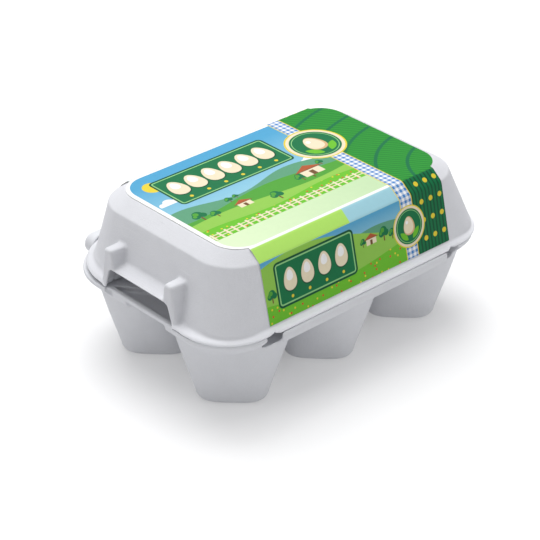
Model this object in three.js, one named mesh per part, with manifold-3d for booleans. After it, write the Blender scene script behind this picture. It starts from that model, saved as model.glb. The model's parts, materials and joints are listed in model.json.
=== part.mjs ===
// A shut moulded-pulp egg carton for six eggs in two rows of three, with a printed paper label.
// Units are millimetres and +Z is up. The long sides run along X, the hinge is at the back, +Y, and the
// origin is on the ground under the middle of the whole carton.
import * as THREE from 'three';
import { mergeVertices } from 'three/addons/utils/BufferGeometryUtils.js';
import Module from 'manifold-3d';

const wasm = await Module();
wasm.setup();

// Driving dimensions: the carton as a whole.
const CARTON_LENGTH = 152; // tray rim, end to end
const CARTON_WIDTH = 101; // tray rim, front to back, without the front band and the hinge
const CARTON_HEIGHT = 69;
const CELL_PITCH = 47;
const SEAM_HEIGHT = 37.1; // where the lid's rim meets the tray's rim
const FIT_GAP = 0.3; // clearance between touching pieces

// The lid: plan sizes are half lengths along X and half widths along Y.
const ROOF = { halfX: 57.4, halfY: 36.8, radius: 12 };
const SHOULDER = { halfX: 64.4, halfY: 41.9, radius: 17, height: 64.9 };
const WALL_FOOT = { halfX: 72.0, halfY: 47.9, radius: 13, extraBack: 11, height: 39.6 };
const LID_LIP = { halfX: 75.7, halfY: 50.2, radius: 21.5, extraBack: 5.5, thickness: 1.9 };
const HINGE_LIFT = 2.0; // the folded hinge holds the lid's back edge this much above the front edge
const EDGE_ROUNDING = 0.8;

// The two upright ribs at each end of the lid, and the slot between them, which is open down to the
// tray. There the tray's rim is set back to a thin sill.
const RIB = { offset: 18.4, reach: 75.4, top: 55.3, halfWidthTop: 2.2, halfWidthFoot: 3.6, root: 60 };
const SLOT = { halfWidthTop: 18.0, halfWidthFoot: 21.2, top: 46.7, depth: 14, corner: 1.6 };
const SLOT_HOOD = { reach: 75.4, lipHeight: 0.5, wallReach: 68.4, rise: 3.0 };
const SILL = { reach: 74.3, halfWidth: 20.5, thickness: 1, rootReach: 71.6 };
const SILL_KNEE = { reach: 72.7, height: 35.2 };
const SILL_UNDERCUT = { rootReach: 67, halfWidth: 16.5 };
const SILL_WELL = { reach: 72.2, lowReach: 70.8, root: 58, halfWidth: 19.5, depth: 2.8 };

// The tray: six cups under a flanged rim. A cup's mouth is round; its foot is a square with soft
// corners, turned by an eighth of a circle, so that flat facets face the diagonals.
const TRAY_RIM = { radius: 24.5, edge: 1.5, flange: 5.5 };
const CUP_MOUTH = { radius: 24.8, height: 33.4 };
const CUP_FOOT = { half: 14.9, height: 3.4, flatHalf: 11.7, squareness: 3.8 };
const CUP_SWELL = 0.5;
const SLAB_BOTTOM = 29.8;
const WEB_RECESS = { radius: 7.5, depth: 4.5 };

// The straight band along the front and the hinge strip along the back.
const FRONT_BAND = { halfX: 46.0, reach: 51.5, bottom: 32.4, root: 44 };
const LID_FRONT_LIP = { halfX: 47.6, reach: 51.0 };
const BAND_NOTCH = { width: 7.6, drop: 4.7, bendX: 1.2, bendDrop: 1.9, depth: 7 };
const LIP_NOTCH = { far: 54, crest: 48.8, rise: 1.0, depth: 7 };
const HINGE = { halfX: 60.2, reach: 54.4, bottom: 32.4, top: 41.0, root: 46, corner: 4.2 };

// The label: a paper sheet over the roof that hangs down over the front and back walls.
const LABEL = { halfX: 49.4, paper: 0.35, roofMargin: 0.4, foot: 39.9 };

const CORNER_STEPS = 4; // an arc gets twice this many chords
const SMALL_STEPS = 2;
const CUP_SIDES = 32;

const PULP = { color: 0xc9c9cd, roughness: 0.92, metalness: 0.0 };
const PAPER = { color: 0x5fa63c, roughness: 0.5, metalness: 0.0 };

/** A rounded rectangle, whose two corners on the +Y side may have a larger radius. */
function roundedRectangle({ halfX, halfY, radius, extraBack = 0, x = 0, y = 0 }) {
  const shape = new THREE.Shape();
  const corner = (signX, signY, quarter) => {
    const bend = signY > 0 ? radius + extraBack : radius;
    const start = quarter * Math.PI / 2;
    shape.absarc(x + signX * (halfX - bend), y + signY * (halfY - bend), bend, start, start + Math.PI / 2);
  };
  corner(1, 1, 0);
  corner(-1, 1, 1);
  corner(-1, -1, 2);
  corner(1, -1, 3);
  return shape;
}

/** A closed solid skinned over rings with equal point counts, listed from the bottom up. */
function skin(rings) {
  const count = rings[0].length;
  const faces = [];
  for (let low = 0; low < (rings.length - 1) * count; low += count) {
    const high = low + count;
    for (let i = 0; i < count; i += 1) {
      const next = (i + 1) % count;
      faces.push(low + i, low + next, high + next);
      faces.push(low + i, high + next, high + i);
    }
  }
  const top = (rings.length - 1) * count;
  for (let i = 1; i < count - 1; i += 1) {
    faces.push(0, i + 1, i);
    faces.push(top, top + i, top + i + 1);
  }
  const geometry = new THREE.BufferGeometry().setFromPoints(rings.flat());
  geometry.setIndex(faces);
  return geometry;
}

/** A closed solid skinned over rounded rectangles, listed from the bottom up; slope is the rise along Y. */
function loft(sections, steps = CORNER_STEPS) {
  return skin(sections.map((level) => {
    const outline = roundedRectangle(level).getPoints(steps);
    const slope = level.slope ?? 0;
    return outline.map((point) => new THREE.Vector3(point.x, point.y, level.z + slope * point.y));
  }));
}

/** A flat outline pushed along +Z by depth, then turned so that its X, Y and Z follow three axes. */
function prism(shape, depth, axisX, axisY, origin) {
  const geometry = new THREE.ExtrudeGeometry(shape, { depth, bevelEnabled: false, curveSegments: 6 });
  const axisZ = new THREE.Vector3().crossVectors(axisX, axisY);
  geometry.applyMatrix4(new THREE.Matrix4().makeBasis(axisX, axisY, axisZ).setPosition(origin));
  return geometry;
}

const X_AXIS = new THREE.Vector3(1, 0, 0);
const Y_AXIS = new THREE.Vector3(0, 1, 0);
const Z_AXIS = new THREE.Vector3(0, 0, 1);

/** A closed geometry as a manifold-3d solid. */
function solid(geometry) {
  const bare = geometry.clone();
  bare.deleteAttribute('normal');
  bare.deleteAttribute('uv');
  const merged = mergeVertices(bare, 1e-4);
  return new wasm.Manifold(new wasm.Mesh({
    numProp: 3,
    vertProperties: new Float32Array(merged.attributes.position.array),
    triVerts: new Uint32Array(merged.index.array),
  }));
}

/** Join every solid in a list. */
function join(solids) {
  return solids.reduce((whole, piece) => whole.add(piece));
}

/** A manifold-3d solid as a three.js geometry. */
function geometryOf(manifold) {
  const mesh = manifold.getMesh();
  const geometry = new THREE.BufferGeometry();
  geometry.setAttribute('position', new THREE.BufferAttribute(mesh.vertProperties, 3));
  geometry.setIndex(new THREE.BufferAttribute(mesh.triVerts, 1));
  geometry.computeVertexNormals();
  return geometry;
}

/** A named mesh with its own material. */
function piece(name, manifold, finish) {
  const mesh = new THREE.Mesh(geometryOf(manifold), new THREE.MeshStandardMaterial(finish));
  mesh.name = name;
  return mesh;
}

/** A plan section grown or shrunk by a margin and set at a height. */
function section(base, z, margin = 0) {
  return {
    halfX: base.halfX + margin,
    halfY: base.halfY + margin,
    radius: base.radius + margin,
    extraBack: base.extraBack ?? 0,
    x: base.x,
    y: base.y,
    z,
  };
}

/** The section about the origin a fraction of the way from one to another. */
function between(low, high, fraction) {
  const keys = ['halfX', 'halfY', 'radius', 'extraBack', 'z'];
  const mix = (key) => THREE.MathUtils.lerp(low[key], high[key], fraction);
  return Object.fromEntries(keys.map((key) => [key, mix(key)]));
}

/** The lid's shell form: rolled lip, tapered wall, shallow shoulder and flat roof. */
function lidBody() {
  const lifted = (ring) => ({ ...ring, z: ring.z + HINGE_LIFT / 2, slope: HINGE_LIFT / CARTON_WIDTH });
  const bottom = SEAM_HEIGHT + FIT_GAP / 2;
  const lipTop = bottom + LID_LIP.thickness;
  const lip = section(LID_LIP, lipTop, -EDGE_ROUNDING / 2);
  const foot = section(WALL_FOOT, WALL_FOOT.height);
  const flare = (inward, upward) => (
    { ...between(lip, foot, inward), z: THREE.MathUtils.lerp(lipTop, foot.z, upward) }
  );
  const shoulder = section(SHOULDER, SHOULDER.height);
  const roof = section(ROOF, CARTON_HEIGHT);
  const rim = [
    section(LID_LIP, bottom, -EDGE_ROUNDING),
    section(LID_LIP, bottom + EDGE_ROUNDING / 2),
    section(LID_LIP, lipTop - EDGE_ROUNDING / 2),
    lip,
    flare(0.6, 0.2),
    flare(0.88, 0.55),
    foot,
  ];
  return loft([
    ...rim.map(lifted),
    between(shoulder, foot, 0.05),
    shoulder,
    between(shoulder, roof, 0.12),
    between(shoulder, roof, 0.9),
    roof,
  ]);
}

/** An upright rib on one end of the lid; end and side are 1 or -1. */
function rib(end, side) {
  const foot = SEAM_HEIGHT + FIT_GAP / 2;
  const middle = (RIB.reach + RIB.root) / 2;
  const half = (RIB.reach - RIB.root) / 2;
  const at = (halfY, inset, z) => ({
    halfX: half - inset,
    halfY,
    radius: 1.1,
    x: end * (middle - inset),
    y: side * RIB.offset,
    z,
  });
  return loft([
    at(RIB.halfWidthFoot, -0.2, foot),
    at(RIB.halfWidthTop, 0, RIB.top - EDGE_ROUNDING / 2),
    at(RIB.halfWidthTop - EDGE_ROUNDING / 2, EDGE_ROUNDING / 2, RIB.top),
  ], SMALL_STEPS);
}

/** The overhanging hood above the slot at one end, with a hollow curve up to the wall. */
function slotHood(end) {
  const profile = new THREE.Shape();
  const foot = SLOT.top - 1;
  const lipTop = SLOT.top + SLOT_HOOD.lipHeight;
  const { wallReach } = SLOT_HOOD;
  profile.moveTo(RIB.root, foot);
  profile.lineTo(SLOT_HOOD.reach, foot);
  profile.lineTo(SLOT_HOOD.reach, lipTop);
  profile.quadraticCurveTo(wallReach + 1.6, lipTop + 0.9, wallReach, SLOT.top + SLOT_HOOD.rise);
  profile.lineTo(RIB.root, SLOT.top + SLOT_HOOD.rise);
  profile.closePath();
  const width = 2 * RIB.offset;
  const across = new THREE.Vector3(end, 0, 0);
  return prism(profile, width, across, Z_AXIS, new THREE.Vector3(0, end * RIB.offset, 0));
}

/** The slot's hollow at one end: wider at its foot, below the lid's lip, with rounded upper corners. */
function slotHollow(end) {
  const outline = new THREE.Shape();
  const { halfWidthTop, halfWidthFoot, top, corner } = SLOT;
  const foot = SEAM_HEIGHT - 1;
  outline.moveTo(-halfWidthFoot, foot);
  outline.lineTo(halfWidthFoot, foot);
  outline.lineTo(halfWidthTop + 0.3, top - corner);
  outline.quadraticCurveTo(halfWidthTop, top, halfWidthTop - corner, top);
  outline.lineTo(-halfWidthTop + corner, top);
  outline.quadraticCurveTo(-halfWidthTop, top, -halfWidthTop - 0.3, top - corner);
  outline.closePath();
  const depth = SLOT.depth + 10;
  const start = end > 0 ? RIB.reach - SLOT.depth : -RIB.reach + SLOT.depth - depth;
  return prism(outline, depth, Y_AXIS, Z_AXIS, new THREE.Vector3(start, 0, 0));
}

/** A cutter with an outline across the carton's front, pushed in from the front by a depth. */
function frontCutter(outline, end, depth) {
  const clear = 2;
  const across = new THREE.Vector3(end, 0, 0);
  const startY = end > 0 ? -CARTON_WIDTH / 2 + depth : -CARTON_WIDTH / 2 - clear;
  return prism(outline, depth + clear, across, Z_AXIS, new THREE.Vector3(0, startY, 0));
}

/** The lid's straight front lip, which lies on the tray's front band. */
function lidFrontLip() {
  const bottom = SEAM_HEIGHT + FIT_GAP / 2;
  const half = LID_FRONT_LIP.reach - FRONT_BAND.root;
  const lip = {
    halfX: LID_FRONT_LIP.halfX,
    halfY: half / 2,
    radius: 1.6,
    y: -(LID_FRONT_LIP.reach + FRONT_BAND.root) / 2,
  };
  return loft([
    section(lip, bottom, -0.3),
    section(lip, bottom + 0.4),
    section(lip, bottom + LID_LIP.thickness - 0.4),
    section(lip, bottom + LID_LIP.thickness, -0.4),
  ], SMALL_STEPS);
}

/** The shallow rise in the lid's lip above the tray's notch at one end of the front lip. */
function lipNotch(end) {
  const bottom = SEAM_HEIGHT - 1;
  const crest = SEAM_HEIGHT + LIP_NOTCH.rise;
  const outline = new THREE.Shape();
  outline.moveTo(LID_FRONT_LIP.halfX, bottom);
  outline.lineTo(LIP_NOTCH.far, bottom);
  outline.lineTo(LIP_NOTCH.far, SEAM_HEIGHT);
  outline.lineTo(LIP_NOTCH.crest, crest);
  outline.lineTo(LID_FRONT_LIP.halfX + 0.6, crest);
  outline.closePath();
  return frontCutter(outline, end, LIP_NOTCH.depth);
}

/** The whole lid as one solid. */
function lid() {
  const pieces = [solid(lidBody()), solid(lidFrontLip())];
  for (const end of [-1, 1]) {
    pieces.push(solid(slotHood(end)), solid(rib(end, -1)), solid(rib(end, 1)));
  }
  const hollows = [-1, 1].flatMap((end) => [solid(slotHollow(end)), solid(lipNotch(end))]);
  return join(pieces).subtract(join(hollows));
}

/** A ring about the origin whose shape runs from a soft square, turned by 45 degrees, to a circle. */
function cupRing({ foot, mouth, z, swell = 0 }) {
  return Array.from({ length: CUP_SIDES }, (_, i) => {
    const angle = 2 * Math.PI * i / CUP_SIDES;
    const turned = angle + Math.PI / 4;
    const power = CUP_FOOT.squareness;
    const spread = Math.abs(Math.cos(turned)) ** power + Math.abs(Math.sin(turned)) ** power;
    const reach = foot / spread ** (1 / power) + mouth + swell;
    return new THREE.Vector3(reach * Math.cos(angle), reach * Math.sin(angle), z);
  });
}

/** One tapered cup; column is -1, 0 or 1 and row is -1 or 1. */
function cup(column, row) {
  const wall = (fraction) => ({
    foot: CUP_FOOT.half * (1 - fraction),
    mouth: CUP_MOUTH.radius * fraction,
    swell: CUP_SWELL * Math.sin(Math.PI * fraction),
    z: THREE.MathUtils.lerp(CUP_FOOT.height, CUP_MOUTH.height, fraction),
  });
  const heel = THREE.MathUtils.lerp(CUP_FOOT.flatHalf, CUP_FOOT.half, 0.62);
  const rings = [
    { foot: CUP_FOOT.flatHalf, mouth: 0, z: 0 },
    { foot: heel, mouth: 0, z: CUP_FOOT.height * 0.28 },
    wall(0),
    wall(0.2),
    wall(0.45),
    wall(0.72),
    wall(1),
    { foot: 0, mouth: CUP_MOUTH.radius, z: SEAM_HEIGHT - 1 },
  ];
  return skin(rings.map(cupRing)).translate(column * CELL_PITCH, row * CELL_PITCH / 2, 0);
}

/** The tray's rim: a thin flange that spreads outward from the cups' walls. */
function trayRim() {
  const rim = { halfX: CARTON_LENGTH / 2, halfY: CARTON_WIDTH / 2, radius: TRAY_RIM.radius };
  const top = SEAM_HEIGHT - FIT_GAP / 2;
  const edgeFoot = top - TRAY_RIM.edge;
  const spread = (outward, upward) => (
    section(rim, THREE.MathUtils.lerp(SLAB_BOTTOM, edgeFoot, upward), (outward - 1) * TRAY_RIM.flange)
  );
  return loft([
    spread(0, 0),
    spread(0.4, 0.42),
    spread(0.75, 0.8),
    section(rim, edgeFoot, -EDGE_ROUNDING / 2),
    section(rim, edgeFoot + EDGE_ROUNDING / 2),
    section(rim, top - EDGE_ROUNDING / 2),
    section(rim, top, -EDGE_ROUNDING / 2),
  ]);
}

/** The tray's straight front band. */
function frontBand() {
  const top = SEAM_HEIGHT - FIT_GAP / 2;
  const band = {
    halfX: FRONT_BAND.halfX,
    halfY: (FRONT_BAND.reach - FRONT_BAND.root) / 2,
    radius: 1.6,
    y: -(FRONT_BAND.reach + FRONT_BAND.root) / 2,
  };
  return loft([
    section(band, FRONT_BAND.bottom, -0.6),
    section(band, FRONT_BAND.bottom + 0.5, -0.1),
    section(band, top - 0.6),
    section(band, top, -0.5),
  ], SMALL_STEPS);
}

/** The open notch in the tray's rim beside one end of the front band. */
function bandNotch(end) {
  const outline = new THREE.Shape();
  const start = FRONT_BAND.halfX;
  const far = start + BAND_NOTCH.width;
  const top = SEAM_HEIGHT + 1;
  const floor = SEAM_HEIGHT - BAND_NOTCH.drop;
  outline.moveTo(start, top);
  outline.lineTo(start, floor);
  const bendHeight = SEAM_HEIGHT - BAND_NOTCH.bendDrop;
  outline.quadraticCurveTo(start + BAND_NOTCH.bendX, bendHeight, far, SEAM_HEIGHT);
  outline.lineTo(far, top);
  outline.closePath();
  return frontCutter(outline, end, BAND_NOTCH.depth);
}

/** A cutter at one end of the tray, pushed across it by a half width to either side. */
function endCutter(points, end, halfWidth) {
  const outline = new THREE.Shape(points.map(([x, z]) => new THREE.Vector2(x, z)));
  const across = new THREE.Vector3(end, 0, 0);
  return prism(outline, 2 * halfWidth, across, Z_AXIS, new THREE.Vector3(0, end * halfWidth, 0));
}

/** The space outside the thin sill at one end of the tray. */
function sillRecess(end) {
  const top = SEAM_HEIGHT + 1;
  const bottom = SLAB_BOTTOM - 0.3;
  const outside = CARTON_LENGTH / 2 + 2;
  return endCutter([
    [SILL.reach, top],
    [SILL.reach, SEAM_HEIGHT - FIT_GAP / 2 - SILL.thickness],
    [SILL_KNEE.reach, SILL_KNEE.height],
    [SILL.rootReach, bottom],
    [outside, bottom],
    [outside, top],
  ], end, SILL.halfWidth);
}

/** The slanted undercut below the sill's middle, between the two end cups. */
function sillUndercut(end) {
  const bottom = SLAB_BOTTOM - 0.3;
  return endCutter([
    [SILL.reach, SEAM_HEIGHT - FIT_GAP / 2 - SILL.thickness],
    [SILL_UNDERCUT.rootReach, bottom],
    [SILL.reach, bottom],
  ], end, SILL_UNDERCUT.halfWidth);
}

/** The shallow well in the tray's top behind the sill at one end. */
function sillWell(end) {
  const top = SEAM_HEIGHT + 1;
  const bottom = SEAM_HEIGHT - SILL_WELL.depth;
  const { root, lowReach, reach, halfWidth } = SILL_WELL;
  return endCutter([[root, bottom], [lowReach, bottom], [reach, top], [root, top]], end, halfWidth);
}

/** The hinge strip along the back, standing up behind the lid's rim. */
function hingeStrip() {
  const outline = roundedRectangle({
    halfX: HINGE.halfX,
    halfY: (HINGE.top - HINGE.bottom) / 2,
    radius: HINGE.corner,
    y: (HINGE.top + HINGE.bottom) / 2,
  });
  return prism(outline, HINGE.reach - HINGE.root, X_AXIS, Z_AXIS, new THREE.Vector3(0, HINGE.reach, 0));
}

/** The room that the lid's rim needs above the tray. */
function lidRoom() {
  return loft([
    section(LID_LIP, SEAM_HEIGHT - FIT_GAP / 2, FIT_GAP),
    section(LID_LIP, CARTON_HEIGHT, FIT_GAP),
  ]);
}

/** The round dish in the underside of the web between four cups. */
function webRecess(side) {
  const x = side * CELL_PITCH / 2;
  const round = (radius, z) => ({ halfX: radius, halfY: radius, radius: radius * 0.98, x, z });
  return loft([
    round(WEB_RECESS.radius, SLAB_BOTTOM - 1),
    round(WEB_RECESS.radius, SLAB_BOTTOM),
    round(WEB_RECESS.radius * 0.8, SLAB_BOTTOM + WEB_RECESS.depth * 0.6),
    round(WEB_RECESS.radius * 0.4, SLAB_BOTTOM + WEB_RECESS.depth),
  ], SMALL_STEPS);
}

/** The whole tray as one solid. */
function tray() {
  const hinge = solid(hingeStrip()).subtract(solid(lidRoom()));
  const pieces = [solid(trayRim()), solid(frontBand()), hinge];
  for (const row of [-1, 1]) {
    for (const column of [-1, 0, 1]) {
      pieces.push(solid(cup(column, row)));
    }
  }
  const cutters = [bandNotch, webRecess, sillRecess, sillUndercut, sillWell];
  const hollows = [-1, 1].flatMap((end) => cutters.map((cutter) => solid(cutter(end))));
  return join(pieces).subtract(join(hollows));
}

/** A path moved to its left by a distance, with mitred turns. */
function offsetPath(points, distance) {
  const normals = points.slice(1).map((point, i) => {
    const run = point.clone().sub(points[i]).normalize();
    return new THREE.Vector2(-run.y, run.x);
  });
  return points.map((point, i) => {
    const before = normals[Math.max(i - 1, 0)];
    const after = normals[Math.min(i, normals.length - 1)];
    const mitre = before.clone().add(after).normalize();
    return point.clone().addScaledVector(mitre, distance / mitre.dot(after));
  });
}

/** The label's strip: up the front wall, over the roof and down the back wall. */
function labelStrip() {
  const wallPoint = (side, lift) => {
    const fall = (SHOULDER.height - LABEL.foot - lift) / (SHOULDER.height - WALL_FOOT.height - lift);
    return new THREE.Vector2(
      side * THREE.MathUtils.lerp(SHOULDER.halfY, WALL_FOOT.halfY, fall),
      LABEL.foot + lift,
    );
  };
  const wall = [
    wallPoint(-1, 0),
    new THREE.Vector2(-SHOULDER.halfY, SHOULDER.height),
    new THREE.Vector2(-ROOF.halfY, CARTON_HEIGHT),
    new THREE.Vector2(ROOF.halfY, CARTON_HEIGHT),
    new THREE.Vector2(SHOULDER.halfY, SHOULDER.height),
    wallPoint(1, HINGE_LIFT),
  ];
  const inner = offsetPath(wall, FIT_GAP);
  const outer = offsetPath(wall, FIT_GAP + LABEL.paper);
  const sheet = new THREE.Shape([...inner, ...outer.reverse()]);
  return prism(sheet, 2 * LABEL.halfX, Y_AXIS, Z_AXIS, new THREE.Vector3(-LABEL.halfX, 0, 0));
}

/** The label's roof panel, with rounded corners. */
function labelRoof() {
  const panel = section(ROOF, CARTON_HEIGHT + FIT_GAP, -LABEL.roofMargin);
  return loft([panel, { ...panel, z: CARTON_HEIGHT + FIT_GAP + LABEL.paper }]);
}

/** The whole label as one solid. */
function label() {
  return join([solid(labelStrip()), solid(labelRoof())]);
}

const carton = new THREE.Group();
carton.position.y = (FRONT_BAND.reach - HINGE.reach) / 2;
carton.add(piece('lid', lid(), PULP));
carton.add(piece('tray', tray(), PULP));
carton.add(piece('label', label(), PAPER));

export default carton;
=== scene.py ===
"""A shut moulded-pulp egg carton with a printed paper label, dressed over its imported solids.

The classes hold their sizes in millimetres, in the carton's own frame: X along the carton, Y from the
front towards the hinge, Z up, with Y = 0 midway between the long sides of the tray's rim. A finished
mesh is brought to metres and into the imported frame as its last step.
"""

import json
import logging
import math
from bisect import bisect_right
from dataclasses import dataclass, field, replace
from enum import Enum
from typing import Callable, Iterable, Sequence

import bmesh
import bpy
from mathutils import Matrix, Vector, noise

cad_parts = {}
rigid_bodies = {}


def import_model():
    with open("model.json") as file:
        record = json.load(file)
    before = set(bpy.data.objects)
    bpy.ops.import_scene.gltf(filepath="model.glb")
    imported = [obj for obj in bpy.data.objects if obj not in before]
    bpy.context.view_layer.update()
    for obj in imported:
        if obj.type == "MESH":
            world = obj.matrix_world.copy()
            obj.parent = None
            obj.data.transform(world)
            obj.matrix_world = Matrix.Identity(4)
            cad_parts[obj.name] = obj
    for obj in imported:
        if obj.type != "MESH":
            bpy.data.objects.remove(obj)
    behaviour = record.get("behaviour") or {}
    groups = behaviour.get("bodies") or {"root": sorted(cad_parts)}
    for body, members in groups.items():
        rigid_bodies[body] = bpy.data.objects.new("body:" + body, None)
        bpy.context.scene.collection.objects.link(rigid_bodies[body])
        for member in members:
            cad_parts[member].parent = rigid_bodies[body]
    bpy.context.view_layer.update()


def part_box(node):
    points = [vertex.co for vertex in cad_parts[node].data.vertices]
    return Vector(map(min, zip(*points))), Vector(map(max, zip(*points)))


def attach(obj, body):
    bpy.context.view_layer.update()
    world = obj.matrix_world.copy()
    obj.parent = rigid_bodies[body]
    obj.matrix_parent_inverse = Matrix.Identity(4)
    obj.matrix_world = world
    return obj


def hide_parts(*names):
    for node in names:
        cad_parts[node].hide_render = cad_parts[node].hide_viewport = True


log = logging.getLogger("egg_carton")

MM = 0.001

CELL_PITCH = 47.0
CARTON_HEIGHT = 69.0
SEAM_HEIGHT = 37.1
FIT_GAP = 0.3
SEAM_GAP = 0.08
HINGE_LIFT = 2.0
RIM_HALF_Y = 50.5
FRONT_REACH = 51.5

Station = Callable[[float], Vector]


class End(Enum):
    """The carton's two short ends, as the sign of X."""

    LEFT = -1
    RIGHT = 1


def lerp(low: float, high: float, share: float) -> float:
    """Returns the value a share of the way from low to high."""
    return low + (high - low) * share


def hinge_lift(y: float) -> float:
    """Returns how far the hinge holds the lid's rim up at a distance y from the middle."""
    share = min(max((y + RIM_HALF_Y) / (2 * RIM_HALF_Y), 0.0), 1.0)
    return HINGE_LIFT * share**1.5


@dataclass(frozen=True)
class Section:
    """A rounded rectangle in plan at one height.

    Args:
        half_x: half its length along X.
        half_y: half its length along Y.
        radius: its corners' radius.
        z: its height.
        x: its centre's X.
        y: its centre's Y.
        lifted: whether the hinge lifts its back.
        extra_back: how much larger the radius of the two back corners is.
    """

    half_x: float
    half_y: float
    radius: float
    z: float
    x: float = 0.0
    y: float = 0.0
    lifted: bool = False
    extra_back: float = 0.0

    def grown(self, margin: float, z: float) -> "Section":
        """Grows the section and sets it at another height.

        Args:
            margin: how far it grows to every side.
            z: its new height.

        Returns:
            The grown section.
        """
        return replace(
            self,
            half_x=self.half_x + margin,
            half_y=self.half_y + margin,
            radius=max(self.radius + margin, 0.05),
            z=z,
        )

    def towards(self, other: "Section", share: float, z: float | None = None) -> "Section":
        """Returns the section a share of the way to another one, at its own mixed height or at z.

        Args:
            other: the other section.
            share: how far the way goes.
            z: the height of the result, where it isn't mixed too.

        Returns:
            The section between the two.
        """
        return replace(
            self,
            half_x=lerp(self.half_x, other.half_x, share),
            half_y=lerp(self.half_y, other.half_y, share),
            radius=lerp(self.radius, other.radius, share),
            extra_back=lerp(self.extra_back, other.extra_back, share),
            z=lerp(self.z, other.z, share) if z is None else z,
        )

    def at(self, turn: float) -> Vector:
        """Finds a point of the outline. Half of each quarter turn is the corner's arc.

        Args:
            turn: the share of a turn at which the point lies.

        Returns:
            The point.
        """
        quarter, share = divmod(turn * 4 % 4, 1)
        sides = [(1, 1), (-1, 1), (-1, -1), (1, -1)]

        def on_arc(index: int, bend: float) -> Vector:
            """Finds a point of a corner's arc.

            Args:
                index: the corner.
                bend: the share of the arc at which the point lies.

            Returns:
                The point.
            """
            sign_x, sign_y = sides[index % 4]
            radius = self.radius + (self.extra_back if sign_y > 0 else 0.0)
            angle = math.pi / 2 * (index + bend)
            return Vector((
                self.x + sign_x * (self.half_x - radius) + radius * math.cos(angle),
                self.y + sign_y * (self.half_y - radius) + radius * math.sin(angle),
                self.z,
            ))

        if share < 0.5:
            point = on_arc(int(quarter), share * 2)
        else:
            point = on_arc(int(quarter), 1).lerp(on_arc(int(quarter) + 1, 0), share * 2 - 1)
        if self.lifted:
            point.z += hinge_lift(point.y)
        return point


class Blank:
    """One closed shape in millimetres, built with mesh operators."""

    def __init__(self, bm: bmesh.types.BMesh | None = None) -> None:
        """Starts an empty mesh, or takes over one that is begun."""
        self.bm = bm or bmesh.new()

    def loft(self, stations: Sequence[Station], count: int = 96) -> "Blank":
        """Draws one ring up through a list of stations and caps both ends.

        Args:
            stations: for each level, the point at a share of a turn, from the bottom up.
            count: the vertices in a ring.

        Returns:
            The blank itself.
        """
        bm = self.bm
        turn = bm.verts.layers.float.new("turn")
        made = bmesh.ops.create_circle(bm, cap_ends=True, radius=1.0, segments=count)
        ring = made["verts"]
        for vert in ring:
            vert[turn] = math.atan2(vert.co.y, vert.co.x) / math.tau % 1.0
        edges = list(bm.edges)
        for level, station in enumerate(stations):
            if level:
                drawn = bmesh.ops.extrude_edge_only(bm, edges=edges)["geom"]
                ring = [part for part in drawn if isinstance(part, bmesh.types.BMVert)]
                kept = set(ring)
                edges = [
                    part for part in drawn
                    if isinstance(part, bmesh.types.BMEdge) and kept.issuperset(part.verts)
                ]
            for vert in ring:
                vert.co = station(vert[turn])
        bmesh.ops.contextual_create(bm, geom=edges)
        bmesh.ops.recalc_face_normals(bm, faces=bm.faces)
        return self

    def prism(self, outline: Sequence[Vector], push: Vector) -> "Blank":
        """Pushes a flat outline into a closed bar.

        Args:
            outline: the outline's corners.
            push: how far and which way it is pushed.

        Returns:
            The blank itself.
        """
        bm = self.bm
        face = bm.faces.new([bm.verts.new(point) for point in outline])
        drawn = bmesh.ops.extrude_face_region(bm, geom=[face])["geom"]
        moved = [part for part in drawn if isinstance(part, bmesh.types.BMVert)]
        bmesh.ops.translate(bm, verts=moved, vec=push)
        bm.faces.ensure_lookup_table()
        bmesh.ops.recalc_face_normals(bm, faces=bm.faces)
        return self

    def into_object(self, name: str, collection: bpy.types.Collection) -> bpy.types.Object:
        """Makes a mesh object of the blank, in millimetres.

        Args:
            name: the object's name.
            collection: where it goes.

        Returns:
            The object.
        """
        mesh = bpy.data.meshes.new(name)
        self.bm.to_mesh(mesh)
        self.bm.free()
        made = bpy.data.objects.new(name, mesh)
        collection.objects.link(made)
        return made


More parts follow.
